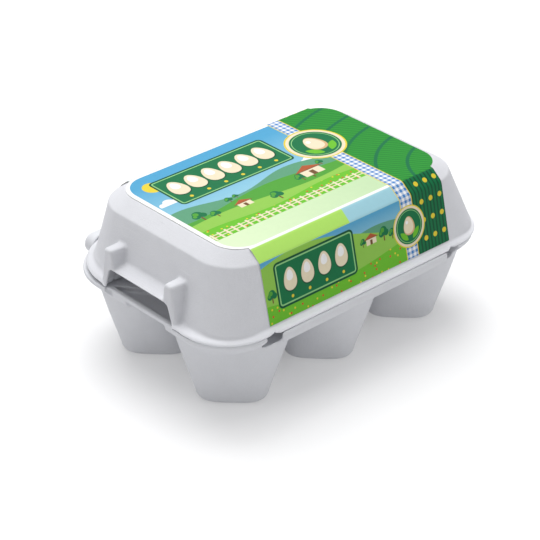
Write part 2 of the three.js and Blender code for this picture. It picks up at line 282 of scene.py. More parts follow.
@dataclass
class PulpMould:
    """Joins blanks into one seamless pulp body with soft fillets and a gently uneven skin.

    Args:
        shift_y: what brings the carton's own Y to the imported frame's, in millimetres.
        voxel: the grid that joins the blanks, in millimetres.
        soften: how often the skin is smoothed.
        budget: the most triangles that the body keeps.
        unevenness: how far the skin wanders in or out, in millimetres.
        uneven_per_mm: how many such swells there are to a millimetre.
        uneven_octaves: the octaves of that wandering.
    """

    shift_y: float
    voxel: float = 0.42
    soften: int = 3
    budget: int = 180_000
    unevenness: float = 0.05
    uneven_per_mm: float = 0.11
    uneven_octaves: int = 3

    def press(
        self, name: str, blanks: Iterable[Blank], cutters: Iterable[Blank]
    ) -> bpy.types.Object:
        """Joins the blanks, cuts them and finishes the skin.

        Args:
            name: the piece's name.
            blanks: the closed shapes that are joined, the largest first.
            cutters: the closed shapes that are cut away.

        Returns:
            The finished piece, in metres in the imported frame.
        """
        scene = bpy.context.scene
        workshop = {}
        for role in ("joined", "cut"):
            workshop[role] = bpy.data.collections.new(f"{name}_{role}")
            scene.collection.children.link(workshop[role])
        body, *others = blanks
        piece = body.into_object(name, scene.collection)
        for number, blank in enumerate(others):
            blank.into_object(f"{name}_joined_{number}", workshop["joined"])
        for number, blank in enumerate(cutters):
            blank.into_object(f"{name}_cut_{number}", workshop["cut"])
        for role, operation in (("joined", "UNION"), ("cut", "DIFFERENCE")):
            boolean = piece.modifiers.new(role, "BOOLEAN")
            boolean.operation = operation
            boolean.solver = "MANIFOLD"
            boolean.operand_type = "COLLECTION"
            boolean.collection = workshop[role]
        remesh = piece.modifiers.new("skin", "REMESH")
        remesh.mode = "VOXEL"
        remesh.voxel_size = self.voxel
        smooth = piece.modifiers.new("soften", "SMOOTH")
        smooth.iterations = self.soften
        apply_modifiers(piece)
        for collection in workshop.values():
            for helper in list(collection.objects):
                bpy.data.meshes.remove(helper.data)
            bpy.data.collections.remove(collection)
        self.thin_out(piece)
        self.roughen(piece)
        seat(piece, self.shift_y)
        return piece

    def thin_out(self, piece: bpy.types.Object) -> None:
        """Brings the body's triangles down to the budget, flat stretches first.

        Args:
            piece: the body.
        """
        triangles = sum(len(polygon.vertices) - 2 for polygon in piece.data.polygons)
        if triangles > self.budget:
            decimate = piece.modifiers.new("thin", "DECIMATE")
            decimate.ratio = self.budget / triangles
            apply_modifiers(piece)

    def roughen(self, piece: bpy.types.Object) -> None:
        """Lets the skin wander in and out along its normals, as felted pulp does.

        Args:
            piece: the body, still in millimetres.
        """
        bm = bmesh.new()
        bm.from_mesh(piece.data)
        bm.normal_update()
        for vert in bm.verts:
            swell = noise.fractal(vert.co * self.uneven_per_mm, 1.0, 2.0, self.uneven_octaves)
            vert.co += vert.normal * (swell * self.unevenness)
        bm.to_mesh(piece.data)
        bm.free()


def apply_modifiers(piece: bpy.types.Object) -> None:
    """Turns what an object's modifiers make into its mesh, and takes them off.

    Args:
        piece: the object.
    """
    graph = bpy.context.evaluated_depsgraph_get()
    graph.update()
    made = bpy.data.meshes.new_from_object(piece.evaluated_get(graph))
    old = piece.data
    piece.modifiers.clear()
    piece.data = made
    made.name = piece.name
    bpy.data.meshes.remove(old)


def seat(piece: bpy.types.Object, shift_y: float) -> None:
    """Brings a mesh from millimetres in the carton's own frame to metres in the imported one.

    Args:
        piece: the object.
        shift_y: what brings the carton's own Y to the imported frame's, in millimetres.
    """
    bm = bmesh.new()
    bm.from_mesh(piece.data)
    bmesh.ops.translate(bm, verts=bm.verts, vec=(0.0, shift_y, 0.0))
    bmesh.ops.scale(bm, verts=bm.verts, vec=(MM, MM, MM))
    bm.to_mesh(piece.data)
    bm.free()
    piece.data.shade_smooth()


def front_cutter(outline: Sequence[tuple[float, float]], end: End, depth: float) -> Blank:
    """Makes a cutter that enters from the carton's front.

    Args:
        outline: its outline as distances along X from the middle, and heights.
        end: the end of the carton that it lies towards.
        depth: how far behind the rim's front edge it ends.

    Returns:
        The cutter.
    """
    clear = 2.0
    points = [Vector((end.value * x, -RIM_HALF_Y - clear, z)) for x, z in outline]
    return Blank().prism(points, Vector((0.0, depth + clear, 0.0)))


def end_cutter(outline: Sequence[tuple[float, float]], end: End, half_y: float) -> Blank:
    """Makes a cutter at one end from its outline as distances from the middle and heights."""
    points = [Vector((end.value * x, -half_y, z)) for x, z in outline]
    return Blank().prism(points, Vector((0.0, 2 * half_y, 0.0)))


def narrowing(plan: Sequence[tuple[float, float]], end: End, z: float) -> list[Vector]:
    """Draws the outline of a room that narrows inwards.

    Args:
        plan: its outer and its inner x, each with its half width.
        end: the end of the carton that it is at.
        z: the height of the outline.

    Returns:
        The outline's corners.
    """
    (outer, wide), (inner, narrow) = plan
    corners = ((outer, -wide), (outer, wide), (inner, narrow), (inner, -narrow))
    return [Vector((end.value * x, y, z)) for x, y in corners]


@dataclass
class Lid:
    """The shut lid: rolled lip, tapered walls, shoulder, roof, end ribs and finger slots.

    Args:
        roof: the roof's outline.
        shoulder: the outline where the walls end and the bevel starts.
        wall_foot: the outline of the walls' foot.
        lip: the outline of the rolled lip.
        bead: the lip's profile: how far each ring is grown, and how far up it lies.
        lip_top: the same for the lip's upper edge.
        front_lip_top: the same for the front lip's upper edge.
        wall_levels: the walls' rings, as shares of the way down from the shoulder.
        bevel_levels: the bevel's rings, as shares of the way up to the roof.
        fillet_start: the x from which the walls' foot climbs.
        fillet_run: the distance over which it climbs.
        fillet_rise: how high it climbs.
        front_lip_half_x: half the front lip's length.
        front_lip_reach: how far to the front it reaches.
        front_root: how far in front of the middle it starts.
        rib_offset: an end rib's distance from the middle.
        rib_reach: how far out it reaches.
        rib_root: how far out it starts.
        rib_top: the height of its top.
        rib_half_top: half its width at the top.
        rib_half_foot: half its width at the foot.
        rib_crown: its top's rounding: how far each ring is grown, and how far down it lies.
        rib_spread: how much wider it is at its root, as a share.
        slot_half_top: half a slot's width at its top.
        slot_half_foot: half its width at its foot.
        slot_top: the height of its top.
        slot_foot: the height of its foot.
        slot_corner: the radius of its upper corners.
        slot_flare: how much wider it is below those corners, to either side.
        slot_outside: the x at which its cut starts.
        slot_depth: how far inwards its cut goes.
        hood_lip: how far the hood's lip stands above the slot.
        hood_wall: the x at which the hood meets the wall.
        hood_rise: how far above the slot it does.
        hood_bevel: the bevel of its lip.
        hood_start: where its curve starts, in from the ribs' reach and up from its lip.
        hood_pull: what bends the curve, out from hood_wall and up from its lip.
        notch_far: the x at which the rise in the lip ends.
        notch_crest: the x up to which it is level.
        notch_rise: how high it is.
        notch_depth: how deep it is cut from the front.
        room_plan: the outer and the inner x of the room behind a slot, each with its half width.
        skin: the skin's thickness round a slot.
        skin_half_y: half the slot's width behind the skin, at its foot and its top.
        skin_cut: how far inwards that wider part goes.
        room_top: the height of the room's top.
        room_lean: how far the room leans inwards on the way up.
    """

    roof: Section = Section(57.4, 36.8, 12.0, CARTON_HEIGHT)
    shoulder: Section = Section(64.4, 41.9, 17.0, 64.9)
    wall_foot: Section = Section(72.0, 47.9, 14.5, 39.6, lifted=True, extra_back=9.5)
    lip: Section = Section(
        75.7, 50.2, 21.5, SEAM_HEIGHT + SEAM_GAP / 2, lifted=True, extra_back=5.5
    )
    bead: tuple[tuple[float, float], ...] = (
        (-0.1, 0.0), (0.0, 0.2), (0.0, 0.7), (-0.35, 1.2), (-0.9, 1.55),
    )
    lip_top: tuple[float, float] = (-1.6, 1.8)
    front_lip_top: tuple[float, float] = (-1.5, 1.8)
    wall_levels: tuple[float, ...] = (0.85, 0.6, 0.3, 0.06)
    bevel_levels: tuple[float, ...] = (0.08, 0.5, 0.92)
    fillet_start: float = 50.0
    fillet_run: float = 12.0
    fillet_rise: float = 0.9
    front_lip_half_x: float = 47.6
    front_lip_reach: float = 51.0
    front_root: float = 44.0
    rib_offset: float = 18.4
    rib_reach: float = 75.4
    rib_root: float = 60.0
    rib_top: float = 55.3
    rib_half_top: float = 2.2
    rib_half_foot: float = 4.6
    rib_crown: tuple[tuple[float, float], ...] = ((0.0, 1.0), (-0.1, 0.62), (-0.35, 0.28), (-0.8, 0.0))
    rib_spread: float = 0.45
    slot_half_top: float = 18.0
    slot_half_foot: float = 21.2
    slot_top: float = 46.7
    slot_foot: float = SEAM_HEIGHT - 1.0
    slot_corner: float = 1.6
    slot_flare: float = 0.3
    slot_outside: float = 85.0
    slot_depth: float = 22.0
    hood_lip: float = 0.5
    hood_wall: float = 68.4
    hood_rise: float = 3.0
    hood_bevel: float = 0.3
    hood_start: tuple[float, float] = (0.5, 0.05)
    hood_pull: tuple[float, float] = (1.6, 0.9)
    notch_far: float = 51.0
    notch_crest: float = 48.0
    notch_rise: float = 1.0
    notch_depth: float = 7.0
    room_plan: tuple[tuple[float, float], ...] = ((70.9, 24.0), (57.0, 5.0))
    skin: float = 1.3
    skin_half_y: tuple[float, float] = (22.1, 20.8)
    skin_cut: float = 10.0
    room_top: float = 52.0
    room_lean: float = 5.1

    def shell(self) -> Blank:
        """Draws the lid's body, from the rolled lip to the roof.

        Returns:
            The body.
        """
        rim = [self.lip.grown(margin, self.lip.z + rise) for margin, rise in (*self.bead, self.lip_top)]
        lip_top = rim[-1]

        def flare(angle: float) -> Station:
            """Makes a ring of the hollow curve from the lip to the wall.

            Args:
                angle: how far along the curve the ring lies.

            Returns:
                The ring.
            """
            def at(turn: float) -> Vector:
                """Finds a point of the ring.

                Args:
                    turn: the share of a turn at which it lies.

                Returns:
                    The point.
                """
                low, high = lip_top.at(turn), self.foot_at(turn)
                point = low.lerp(high, math.sin(angle))
                point.z = lerp(low.z, high.z, 1 - math.cos(angle))
                return point
            return at

        wall = [self.shoulder.towards(self.wall_foot, share) for share in self.wall_levels]
        bevel = [self.shoulder.towards(self.roof, share) for share in self.bevel_levels]
        stations = [ring.at for ring in rim]
        stations += [flare(math.pi / 2 * step / 6) for step in range(1, 7)]
        stations += [ring.at for ring in (*wall, self.shoulder, *bevel, self.roof)]
        return Blank().loft(stations)

    def foot_at(self, turn: float) -> Vector:
        """Finds the wall's foot, which climbs towards the ends, above a hollow fillet.

        Args:
            turn: the share of a turn at which the point lies.

        Returns:
            The point.
        """
        foot, shoulder = self.wall_foot.at(turn), self.shoulder.at(turn)
        beyond = min(max((abs(foot.x) - self.fillet_start) / self.fillet_run, 0.0), 1.0)
        rise = self.fillet_rise * beyond**2 * (3 - 2 * beyond)
        return foot.lerp(shoulder, rise / (shoulder.z - foot.z))

    def front_lip(self) -> Blank:
        """Draws the straight lip along the front.

        Returns:
            The lip.
        """
        bottom = self.lip.z
        half_y = (self.front_lip_reach - self.front_root) / 2
        bar = Section(self.front_lip_half_x, half_y, 1.6, bottom, y=-self.front_root - half_y)
        levels = (*self.bead, self.front_lip_top)
        return Blank().loft([bar.grown(margin, bottom + rise).at for margin, rise in levels], 64)

    def rib(self, end: End, side: int) -> Blank:
        """Draws an upright rib at one end.

        Args:
            end: the end of the carton that it is at.
            side: -1 for the rib on the slot's front side, 1 for the one on its back side.

        Returns:
            The rib.
        """
        middle = (self.rib_reach + self.rib_root) / 2
        foot = Section(middle - self.rib_root, self.rib_half_foot, 1.3, self.lip.z + 0.1)
        foot = replace(foot, x=end.value * middle, y=side * self.rib_offset)
        top = replace(foot, half_y=self.rib_half_top, radius=1.2, z=self.rib_top)
        levels = [foot, foot.towards(top, 0.5), foot.towards(top, 0.9)]
        levels += [top.grown(margin, self.rib_top - drop) for margin, drop in self.rib_crown]

        def spread(level: Section) -> Station:
            """Makes a level into a ring that is wider towards the wall.

            Args:
                level: the level.

            Returns:
                The ring.
            """
            def at(turn: float) -> Vector:
                """Finds a point of the ring.

                Args:
                    turn: the share of a turn at which it lies.

                Returns:
                    The point.
                """
                point = level.at(turn)
                depth = (self.rib_reach - abs(point.x)) / (self.rib_reach - self.rib_root)
                wider = 1 + self.rib_spread * max(depth, 0.0)
                point.y = level.y + (point.y - level.y) * wider
                return point
            return at

        return Blank().loft([spread(level) for level in levels], 48)

    def hood(self, end: End) -> Blank:
        """Draws the hood over one slot, with a hollow curve up to the wall.

        Args:
            end: the end of the carton that it is at.

        Returns:
            The hood.
        """
        foot = self.slot_top - 1.0
        lip_top = self.slot_top + self.hood_lip
        points = [(self.rib_root, foot), (self.rib_reach, foot), (self.rib_reach, lip_top - self.hood_bevel)]
        points.append((self.rib_reach - self.hood_bevel, lip_top))
        start = Vector((self.rib_reach - self.hood_start[0], lip_top + self.hood_start[1]))
        pull = Vector((self.hood_wall + self.hood_pull[0], lip_top + self.hood_pull[1]))
        stop = Vector((self.hood_wall, self.slot_top + self.hood_rise))
        for step in range(1, 9):
            share = step / 8
            points.append(tuple(start.lerp(pull, share).lerp(pull.lerp(stop, share), share)))
        points.append((self.rib_root, self.slot_top + self.hood_rise))
        outline = [Vector((end.value * x, -self.rib_offset, z)) for x, z in points]
        return Blank().prism(outline, Vector((0.0, 2 * self.rib_offset, 0.0)))

    def lip_notch(self, end: End) -> Blank:
        """Draws the cutter of the shallow rise in the lip beside one end of the front lip.

        Args:
            end: the end of the carton that it is at.

        Returns:
            The cutter.
        """
        start, crest = self.front_lip_half_x, SEAM_HEIGHT + self.notch_rise
        outline = [(start, SEAM_HEIGHT - 1), (self.notch_far, SEAM_HEIGHT - 1)]
        outline += [(self.notch_far, SEAM_HEIGHT), (self.notch_crest, crest), (start + 0.6, crest)]
        return front_cutter(outline, end, self.notch_depth)

    def slot(self, end: End) -> Blank:
        """Draws the cutter of one slot: wider at its open foot, with rounded upper corners.

        Args:
            end: the end of the carton that it is at.

        Returns:
            The cutter.
        """
        corner = self.slot_corner
        half: list[tuple[float, float]] = [(self.slot_half_foot, self.slot_foot)]
        half.append((self.slot_half_top + self.slot_flare, self.slot_top - corner))
        for step in range(1, 6):
            angle = math.pi / 2 * step / 5
            half.append((
                self.slot_half_top - corner * (1 - math.cos(angle)) + self.slot_flare * (1 - step / 5),
                self.slot_top - corner * (1 - math.sin(angle)),
            ))
        profile = half + [(-y, z) for y, z in reversed(half)]
        outline = [Vector((end.value * self.slot_outside, y, z)) for y, z in profile]
        return Blank().prism(outline, Vector((end.value * -self.slot_depth, 0.0, 0.0)))

    def inner_slot(self, end: End) -> Blank:
        """Draws the cutter that widens one slot right behind the lid's thin skin.

        Args:
            end: the end of the carton that it is at.

        Returns:
            The cutter.
        """
        low, high = self.skin_half_y
        profile = [(low, self.slot_foot), (high, self.slot_top)]
        profile += [(-y, z) for y, z in reversed(profile)]
        outline = [Vector((end.value * (self.rib_reach - self.skin), y, z)) for y, z in profile]
        return Blank().prism(outline, Vector((end.value * -self.skin_cut, 0.0, 0.0)))

    def room(self, end: End) -> Blank:
        """Draws the cutter of the space behind one slot, which narrows inwards.

        Args:
            end: the end of the carton that it is at.

        Returns:
            The cutter.
        """
        foot = self.lip.z - 2.0
        push = Vector((-end.value * self.room_lean, 0.0, self.room_top - foot))
        return Blank().prism(narrowing(self.room_plan, end, foot), push)

    def build(self, mould: PulpMould) -> bpy.types.Object:
        """Presses the lid.

        Args:
            mould: what joins its blanks.

        Returns:
            The finished lid.
        """
        blanks = [self.shell(), self.front_lip()]
        cutters = []
        for end in End:
            blanks += [self.rib(end, -1), self.rib(end, 1), self.hood(end)]
            cutters += [self.slot(end), self.inner_slot(end), self.room(end), self.lip_notch(end)]
        return mould.press("lid_pulp_body", blanks, cutters)


@dataclass
class Tray:
    """The tray: six cups under a thin flanged rim, with a front band and a hinge strip.

    Args:
        rim: the flange's outline.
        rim_edge: the flange's thickness at its edge.
        flange: how far the flange spreads outward.
        flange_rise: its underside's rings, as shares of that spread and of its rise.
        edge_profile: its edge's rings: how far each is grown, and how far up it lies.
        edge_top_inset: how far its top's outline is grown.
        slab_bottom: the height of the web's underside.
        cut_clear: how far below that the cuts at the ends start.
        mouth_radius: a cup's radius at its mouth.
        mouth_height: the height of its mouth.
        foot_half: half the diagonal of its soft square foot.
        foot_height: the height up to which the foot is rounded.
        foot_flat: half the diagonal of its flat bottom.
        squareness: how square the foot is.
        swell: how far its wall bulges.
        band_half_x: half the front band's length.
        band_reach: how far to the front it reaches.
        band_bottom: the height of its foot.
        band_root: how far in front of the middle it starts.
        band_foot: its foot's rounding: how far each ring is grown, and how far up it lies.
        band_crown: its top's rounding: how far each ring is grown, and how far down it lies.
        notch_width: a notch's width.
        notch_drop: its depth.
        notch_bend: what bends its edge, out from the band's end and down from the seam.
        notch_depth: how deep it is cut from the front.
        pocket_near: the inner x of the hollow behind it.
        pocket_far: the hollow's outer x.
        pocket_front: how far to the front the hollow reaches.
        pocket_back: how far in front of the middle it starts.
        pocket_floor: the height of its floor in front and behind.
        pocket_slope: how long the floor's slope is.
        sill_reach: how far out a sill reaches.
        sill_half_y: half its length.
        sill_thickness: its thickness at its edge.
        sill_knee: the X and Z at which its underside bends.
        sill_root: the x at which its underside ends.
        undercut_root: the x that the undercut below it reaches.
        undercut_half_y: half the undercut's length.
        well_plan: the outer and the inner x of the well behind it, each with its half width.
        well_lean: how far the well leans outwards on the way up.
        well_depth: its depth.
        hinge_half_x: half the hinge strip's length.
        hinge_reach: how far back it reaches.
        hinge_root: how far behind the middle it starts.
        hinge_bottom: the height of its foot.
        hinge_top: the height of its top.
        hinge_corner: its corners' radius.
        hinge_crown: its face's rounding: how far each ring is grown, and how far in it lies.
        web_radius: the radius of a dish in the web.
        web_depth: its depth.
        web_flat: its flat middle, as a share of its radius.
    """

    rim: Section = Section(76.0, RIM_HALF_Y, 24.5, SEAM_HEIGHT - SEAM_GAP / 2)
    rim_edge: float = 2.0
    flange: float = 5.5
    flange_rise: tuple[tuple[float, float], ...] = (
        (0.0, 0.0), (0.2, 0.24), (0.4, 0.43), (0.6, 0.64), (0.8, 0.85),
    )
    edge_profile: tuple[tuple[float, float], ...] = ((-0.5, 0.05), (-0.12, 0.25), (0.0, 0.6), (0.0, 1.7))
    edge_top_inset: float = -0.2
    slab_bottom: float = 29.8
    cut_clear: float = 0.3
    mouth_radius: float = 24.8
    mouth_height: float = 33.4
    foot_half: float = 14.9
    foot_height: float = 3.4
    foot_flat: float = 11.7
    squareness: float = 3.8
    swell: float = 0.5
    band_half_x: float = 46.0
    band_reach: float = FRONT_REACH
    band_bottom: float = 32.4
    band_root: float = 44.0
    band_foot: tuple[tuple[float, float], ...] = ((-0.8, 0.0), (-0.25, 0.25), (-0.05, 0.8))
    band_crown: tuple[tuple[float, float], ...] = ((0.0, 1.2), (-0.1, 0.6), (-0.35, 0.2), (-0.8, 0.0))
    notch_width: float = 5.4
    notch_drop: float = 4.7
    notch_bend: tuple[float, float] = (1.2, 1.9)
    notch_depth: float = 7.0
    pocket_near: float = 39.0
    pocket_far: float = 52.6
    pocket_front: float = 50.6
    pocket_back: float = 42.0
    pocket_floor: tuple[float, float] = (34.4, 31.2)
    pocket_slope: float = 3.2
    sill_reach: float = 74.3
    sill_half_y: float = 20.5
    sill_thickness: float = 1.0
    sill_knee: tuple[float, float] = (72.7, 35.2)
    sill_root: float = 71.6
    undercut_root: float = 68.4
    undercut_half_y: float = 12.0
    well_plan: tuple[tuple[float, float], ...] = ((70.9, 19.8), (58.0, 2.0))
    well_lean: float = 1.6
    well_depth: float = 2.8
    hinge_half_x: float = 60.2
    hinge_reach: float = 54.4
    hinge_root: float = 46.0
    hinge_bottom: float = 32.4
    hinge_top: float = 41.0
    hinge_corner: float = 4.2
    hinge_crown: tuple[tuple[float, float], ...] = ((0.0, 1.0), (-0.15, 0.5), (-0.5, 0.15), (-1.0, 0.0))
    web_radius: float = 7.5
    web_depth: float = 4.5
    web_flat: float = 0.15

    def cup_station(self, column: int, row: int, half: float, mouth: float, z: float) -> Station:
        """Makes a ring of one cup, part soft square turned by 45 degrees and part circle.

        Args:
            column: -1, 0 or 1, from the left.
            row: -1 in front, 1 behind.
            half: half the soft square's diagonal.
            mouth: the circle's radius.
            z: the ring's height.

        Returns:
            The ring.
        """
        centre = Vector((column * CELL_PITCH, row * CELL_PITCH / 2, z))

        def at(turn: float) -> Vector:
            """Finds a point of the ring.

            Args:
                turn: the share of a turn at which it lies.

            Returns:
                The point.
            """
            angle = turn * math.tau
            turned = angle + math.pi / 4
            power = self.squareness
            spread = abs(math.cos(turned)) ** power + abs(math.sin(turned)) ** power
            reach = half / spread ** (1 / power) + mouth
            return centre + Vector((reach * math.cos(angle), reach * math.sin(angle), 0.0))

        return at

    def cup(self, column: int, row: int) -> Blank:
        """Draws one tapered cup.

        Args:
            column: -1, 0 or 1, from the left.
            row: -1 in front, 1 behind.

        Returns:
            The cup.
        """
        rings: list[tuple[float, float, float]] = []
        for step in range(6):
            angle = math.pi / 2 * step / 6
            rings.append((
                lerp(self.foot_flat, self.foot_half, math.sin(angle)),
                0.0,
                self.foot_height * (1 - math.cos(angle)),
            ))
        for step in range(13):
            share = step / 12
            rings.append((
                self.foot_half * (1 - share),
                self.mouth_radius * share + self.swell * math.sin(math.pi * share),
                lerp(self.foot_height, self.mouth_height, share),
            ))
        rings.append((0.0, self.mouth_radius, SEAM_HEIGHT - 1.0))
        return Blank().loft([self.cup_station(column, row, *ring) for ring in rings], 96)

    def rim_body(self) -> Blank:
        """Draws the thin flange, which spreads outward from the cups' walls.

        Returns:
            The flange.
        """
        top = self.rim.z
        edge_foot = top - self.rim_edge
        levels = []
        for outward, upward in self.flange_rise:
            height = lerp(self.slab_bottom, edge_foot, upward)
            levels.append(self.rim.grown((outward - 1) * self.flange, height))
        for margin, rise in self.edge_profile:
            levels.append(self.rim.grown(margin, edge_foot + rise))
        levels.append(self.rim.grown(self.edge_top_inset, top))
        return Blank().loft([level.at for level in levels], 128)

    def band(self) -> Blank:
        """Draws the straight front band.

        Returns:
            The band.
        """
        half_y = (self.band_reach - self.band_root) / 2
        bar = Section(self.band_half_x, half_y, 1.6, 0.0, y=-self.band_root - half_y)
        bottom, top = self.band_bottom, self.rim.z
        levels = [(margin, bottom + rise) for margin, rise in self.band_foot]
        levels += [(margin, top - drop) for margin, drop in self.band_crown]
        return Blank().loft([bar.grown(margin, z).at for margin, z in levels], 64)

    def notch(self, end: End) -> Blank:
        """Draws the cutter of the open notch beside one end of the band.

        Args:
            end: the end of the carton that it is at.

        Returns:
            The cutter.
        """
        start, top = self.band_half_x, SEAM_HEIGHT + 1
        low = Vector((start, SEAM_HEIGHT - self.notch_drop))
        high = Vector((start + self.notch_width, SEAM_HEIGHT))
        pull = Vector((start + self.notch_bend[0], SEAM_HEIGHT - self.notch_bend[1]))
        outline = [(start, top)]
        for step in range(9):
            share = step / 8
            outline.append(tuple(low.lerp(pull, share).lerp(pull.lerp(high, share), share)))
        outline.append((high.x, top))
        return front_cutter(outline, end, self.notch_depth)

    def notch_pocket(self, end: End) -> Blank:
        """Draws the cutter of the hollow behind a notch and the band's thin wall.

        Args:
            end: the end of the carton that it is at.

        Returns:
            The cutter.
        """
        front, back, top = -self.pocket_front, -self.pocket_back, SEAM_HEIGHT + 1
        low_front, low_back = self.pocket_floor
        profile = [(front, top), (front, low_front), (front + self.pocket_slope, low_back)]
        profile += [(back, low_back), (back, top)]
        outline = [Vector((end.value * self.pocket_near, y, z)) for y, z in profile]
        width = self.pocket_far - self.pocket_near
        return Blank().prism(outline, Vector((end.value * width, 0.0, 0.0)))

    def sill_well(self, end: End) -> Blank:
        """Draws the cutter of the shallow well in the tray's top behind one sill.

        Args:
            end: the end of the carton that it is at.

        Returns:
            The cutter.
        """
        bottom = SEAM_HEIGHT - self.well_depth
        push = Vector((end.value * self.well_lean, 0.0, self.well_depth + 1.0))
        return Blank().prism(narrowing(self.well_plan, end, bottom), push)

    def sill_recess(self, end: End) -> Blank:
        """Draws the cutter of the space outside one thin sill.

        Args:
            end: the end of the carton that it is at.

        Returns:
            The cutter.
        """
        top, bottom = SEAM_HEIGHT + 1, self.slab_bottom - self.cut_clear
        outside = self.rim.half_x + 2
        profile = [(self.sill_reach, top), (self.sill_reach, self.rim.z - self.sill_thickness)]
        profile += [self.sill_knee, (self.sill_root, bottom), (outside, bottom), (outside, top)]
        return end_cutter(profile, end, self.sill_half_y)

    def undercut(self, end: End) -> Blank:
        """Draws the cutter of the slanted undercut below one sill's middle.

        Args:
            end: the end of the carton that it is at.

        Returns:
            The cutter.
        """
        bottom = self.slab_bottom - self.cut_clear
        profile = [(self.sill_reach, self.rim.z - self.sill_thickness)]
        profile += [(self.undercut_root, bottom), (self.sill_reach, bottom)]
        return end_cutter(profile, end, self.undercut_half_y)

    def hinge(self) -> Blank:
        """Draws the hinge strip, which stands up behind the lid's rim.

        Returns:
            The strip.
        """
        half_z = (self.hinge_top - self.hinge_bottom) / 2
        outer = Section(self.hinge_half_x, half_z, self.hinge_corner, self.hinge_reach)
        middle = (self.hinge_top + self.hinge_bottom) / 2

        def standing(section: Section) -> Station:
            """Stands a flat section upright.

            Args:
                section: the section.

            Returns:
                The upright ring.
            """
            def at(turn: float) -> Vector:
                """Returns the upright section's point at a share of a turn."""
                point = section.at(turn)
                return Vector((point.x, point.z, middle + point.y))
            return at

        levels = [(0.0, self.hinge_root)]
        levels += [(margin, self.hinge_reach - short) for margin, short in self.hinge_crown]
        return Blank().loft([standing(outer.grown(margin, y)) for margin, y in levels], 64)

    def lid_room(self) -> Blank:
        """Draws the cutter of the room that the lid's rim needs before the hinge strip.

        Returns:
            The cutter.
        """
        lip = Lid().lip
        levels = [lip.grown(FIT_GAP, self.rim.z + 0.02), lip.grown(FIT_GAP, CARTON_HEIGHT)]
        return Blank().loft([replace(level, lifted=False).at for level in levels], 96)

    def web_dish(self, end: End) -> Blank:
        """Draws the cutter of the round dish in the web's underside.

        Args:
            end: the end of the carton that it is at.

        Returns:
            The cutter.
        """
        x = end.value * CELL_PITCH / 2
        levels = []
        for step in range(6):
            angle = math.pi / 2 * step / 5
            radius = self.web_radius * max(math.cos(angle), self.web_flat)
            height = self.slab_bottom - 0.5 + self.web_depth * math.sin(angle)
            levels.append(Section(radius, radius, radius * 0.98, height, x=x))
        return Blank().loft([level.at for level in levels], 48)

    def build(self, mould: PulpMould) -> bpy.types.Object:
        """Presses the tray.

        Args:
            mould: what joins its blanks.

        Returns:
            The finished tray.
        """
        cups = [(column, row) for row in (-1, 1) for column in (-1, 0, 1)]
        blanks = [self.rim_body(), self.band(), self.hinge()]
        blanks += [self.cup(column, row) for column, row in cups]
        cutters = [self.lid_room()]
        for end in End:
            cutters += [self.notch(end), self.notch_pocket(end), self.web_dish(end)]
            cutters += [self.sill_recess(end), self.undercut(end), self.sill_well(end)]
        return mould.press("tray_pulp_body", blanks, cutters)


class Ink(Enum):
    """The label's printing inks, as 8-bit display colours."""

    PAPER = (255, 255, 255)
    CREAM = (244, 231, 200)
    SHELL = (222, 184, 136)
    SKY = (84, 170, 214)
    HAZE = (170, 220, 234)
    STRIPE = (226, 246, 204)
    STRIPE_DIM = (202, 230, 184)
    LIME = (188, 240, 112)
    MEADOW = (112, 198, 46)
    SLOPE = (150, 206, 84)
    PASTURE = (84, 168, 58)
    RIDGE = (98, 164, 128)
    FIELD = (46, 158, 52)
    FURROW = (28, 134, 48)
    FOREST = (12, 118, 70)
    SHADE = (8, 84, 52)
    BORDER = (150, 214, 140)
    SUN = (236, 214, 60)
    CHECK = (70, 138, 208)
    TRUNK = (120, 84, 50)
    TILE = (184, 92, 52)
    POPPY = (214, 66, 44)

    @property
    def linear(self) -> tuple[float, float, float, float]:
        """Turns the ink into the colour that a shader takes.

        Returns:
            The linear colour, with full alpha.
        """
        display = [part / 255 for part in self.value]
        red, green, blue = (
            part / 12.92 if part <= 0.04045 else ((part + 0.055) / 1.055) ** 2.4 for part in display
        )
        return red, green, blue, 1.0


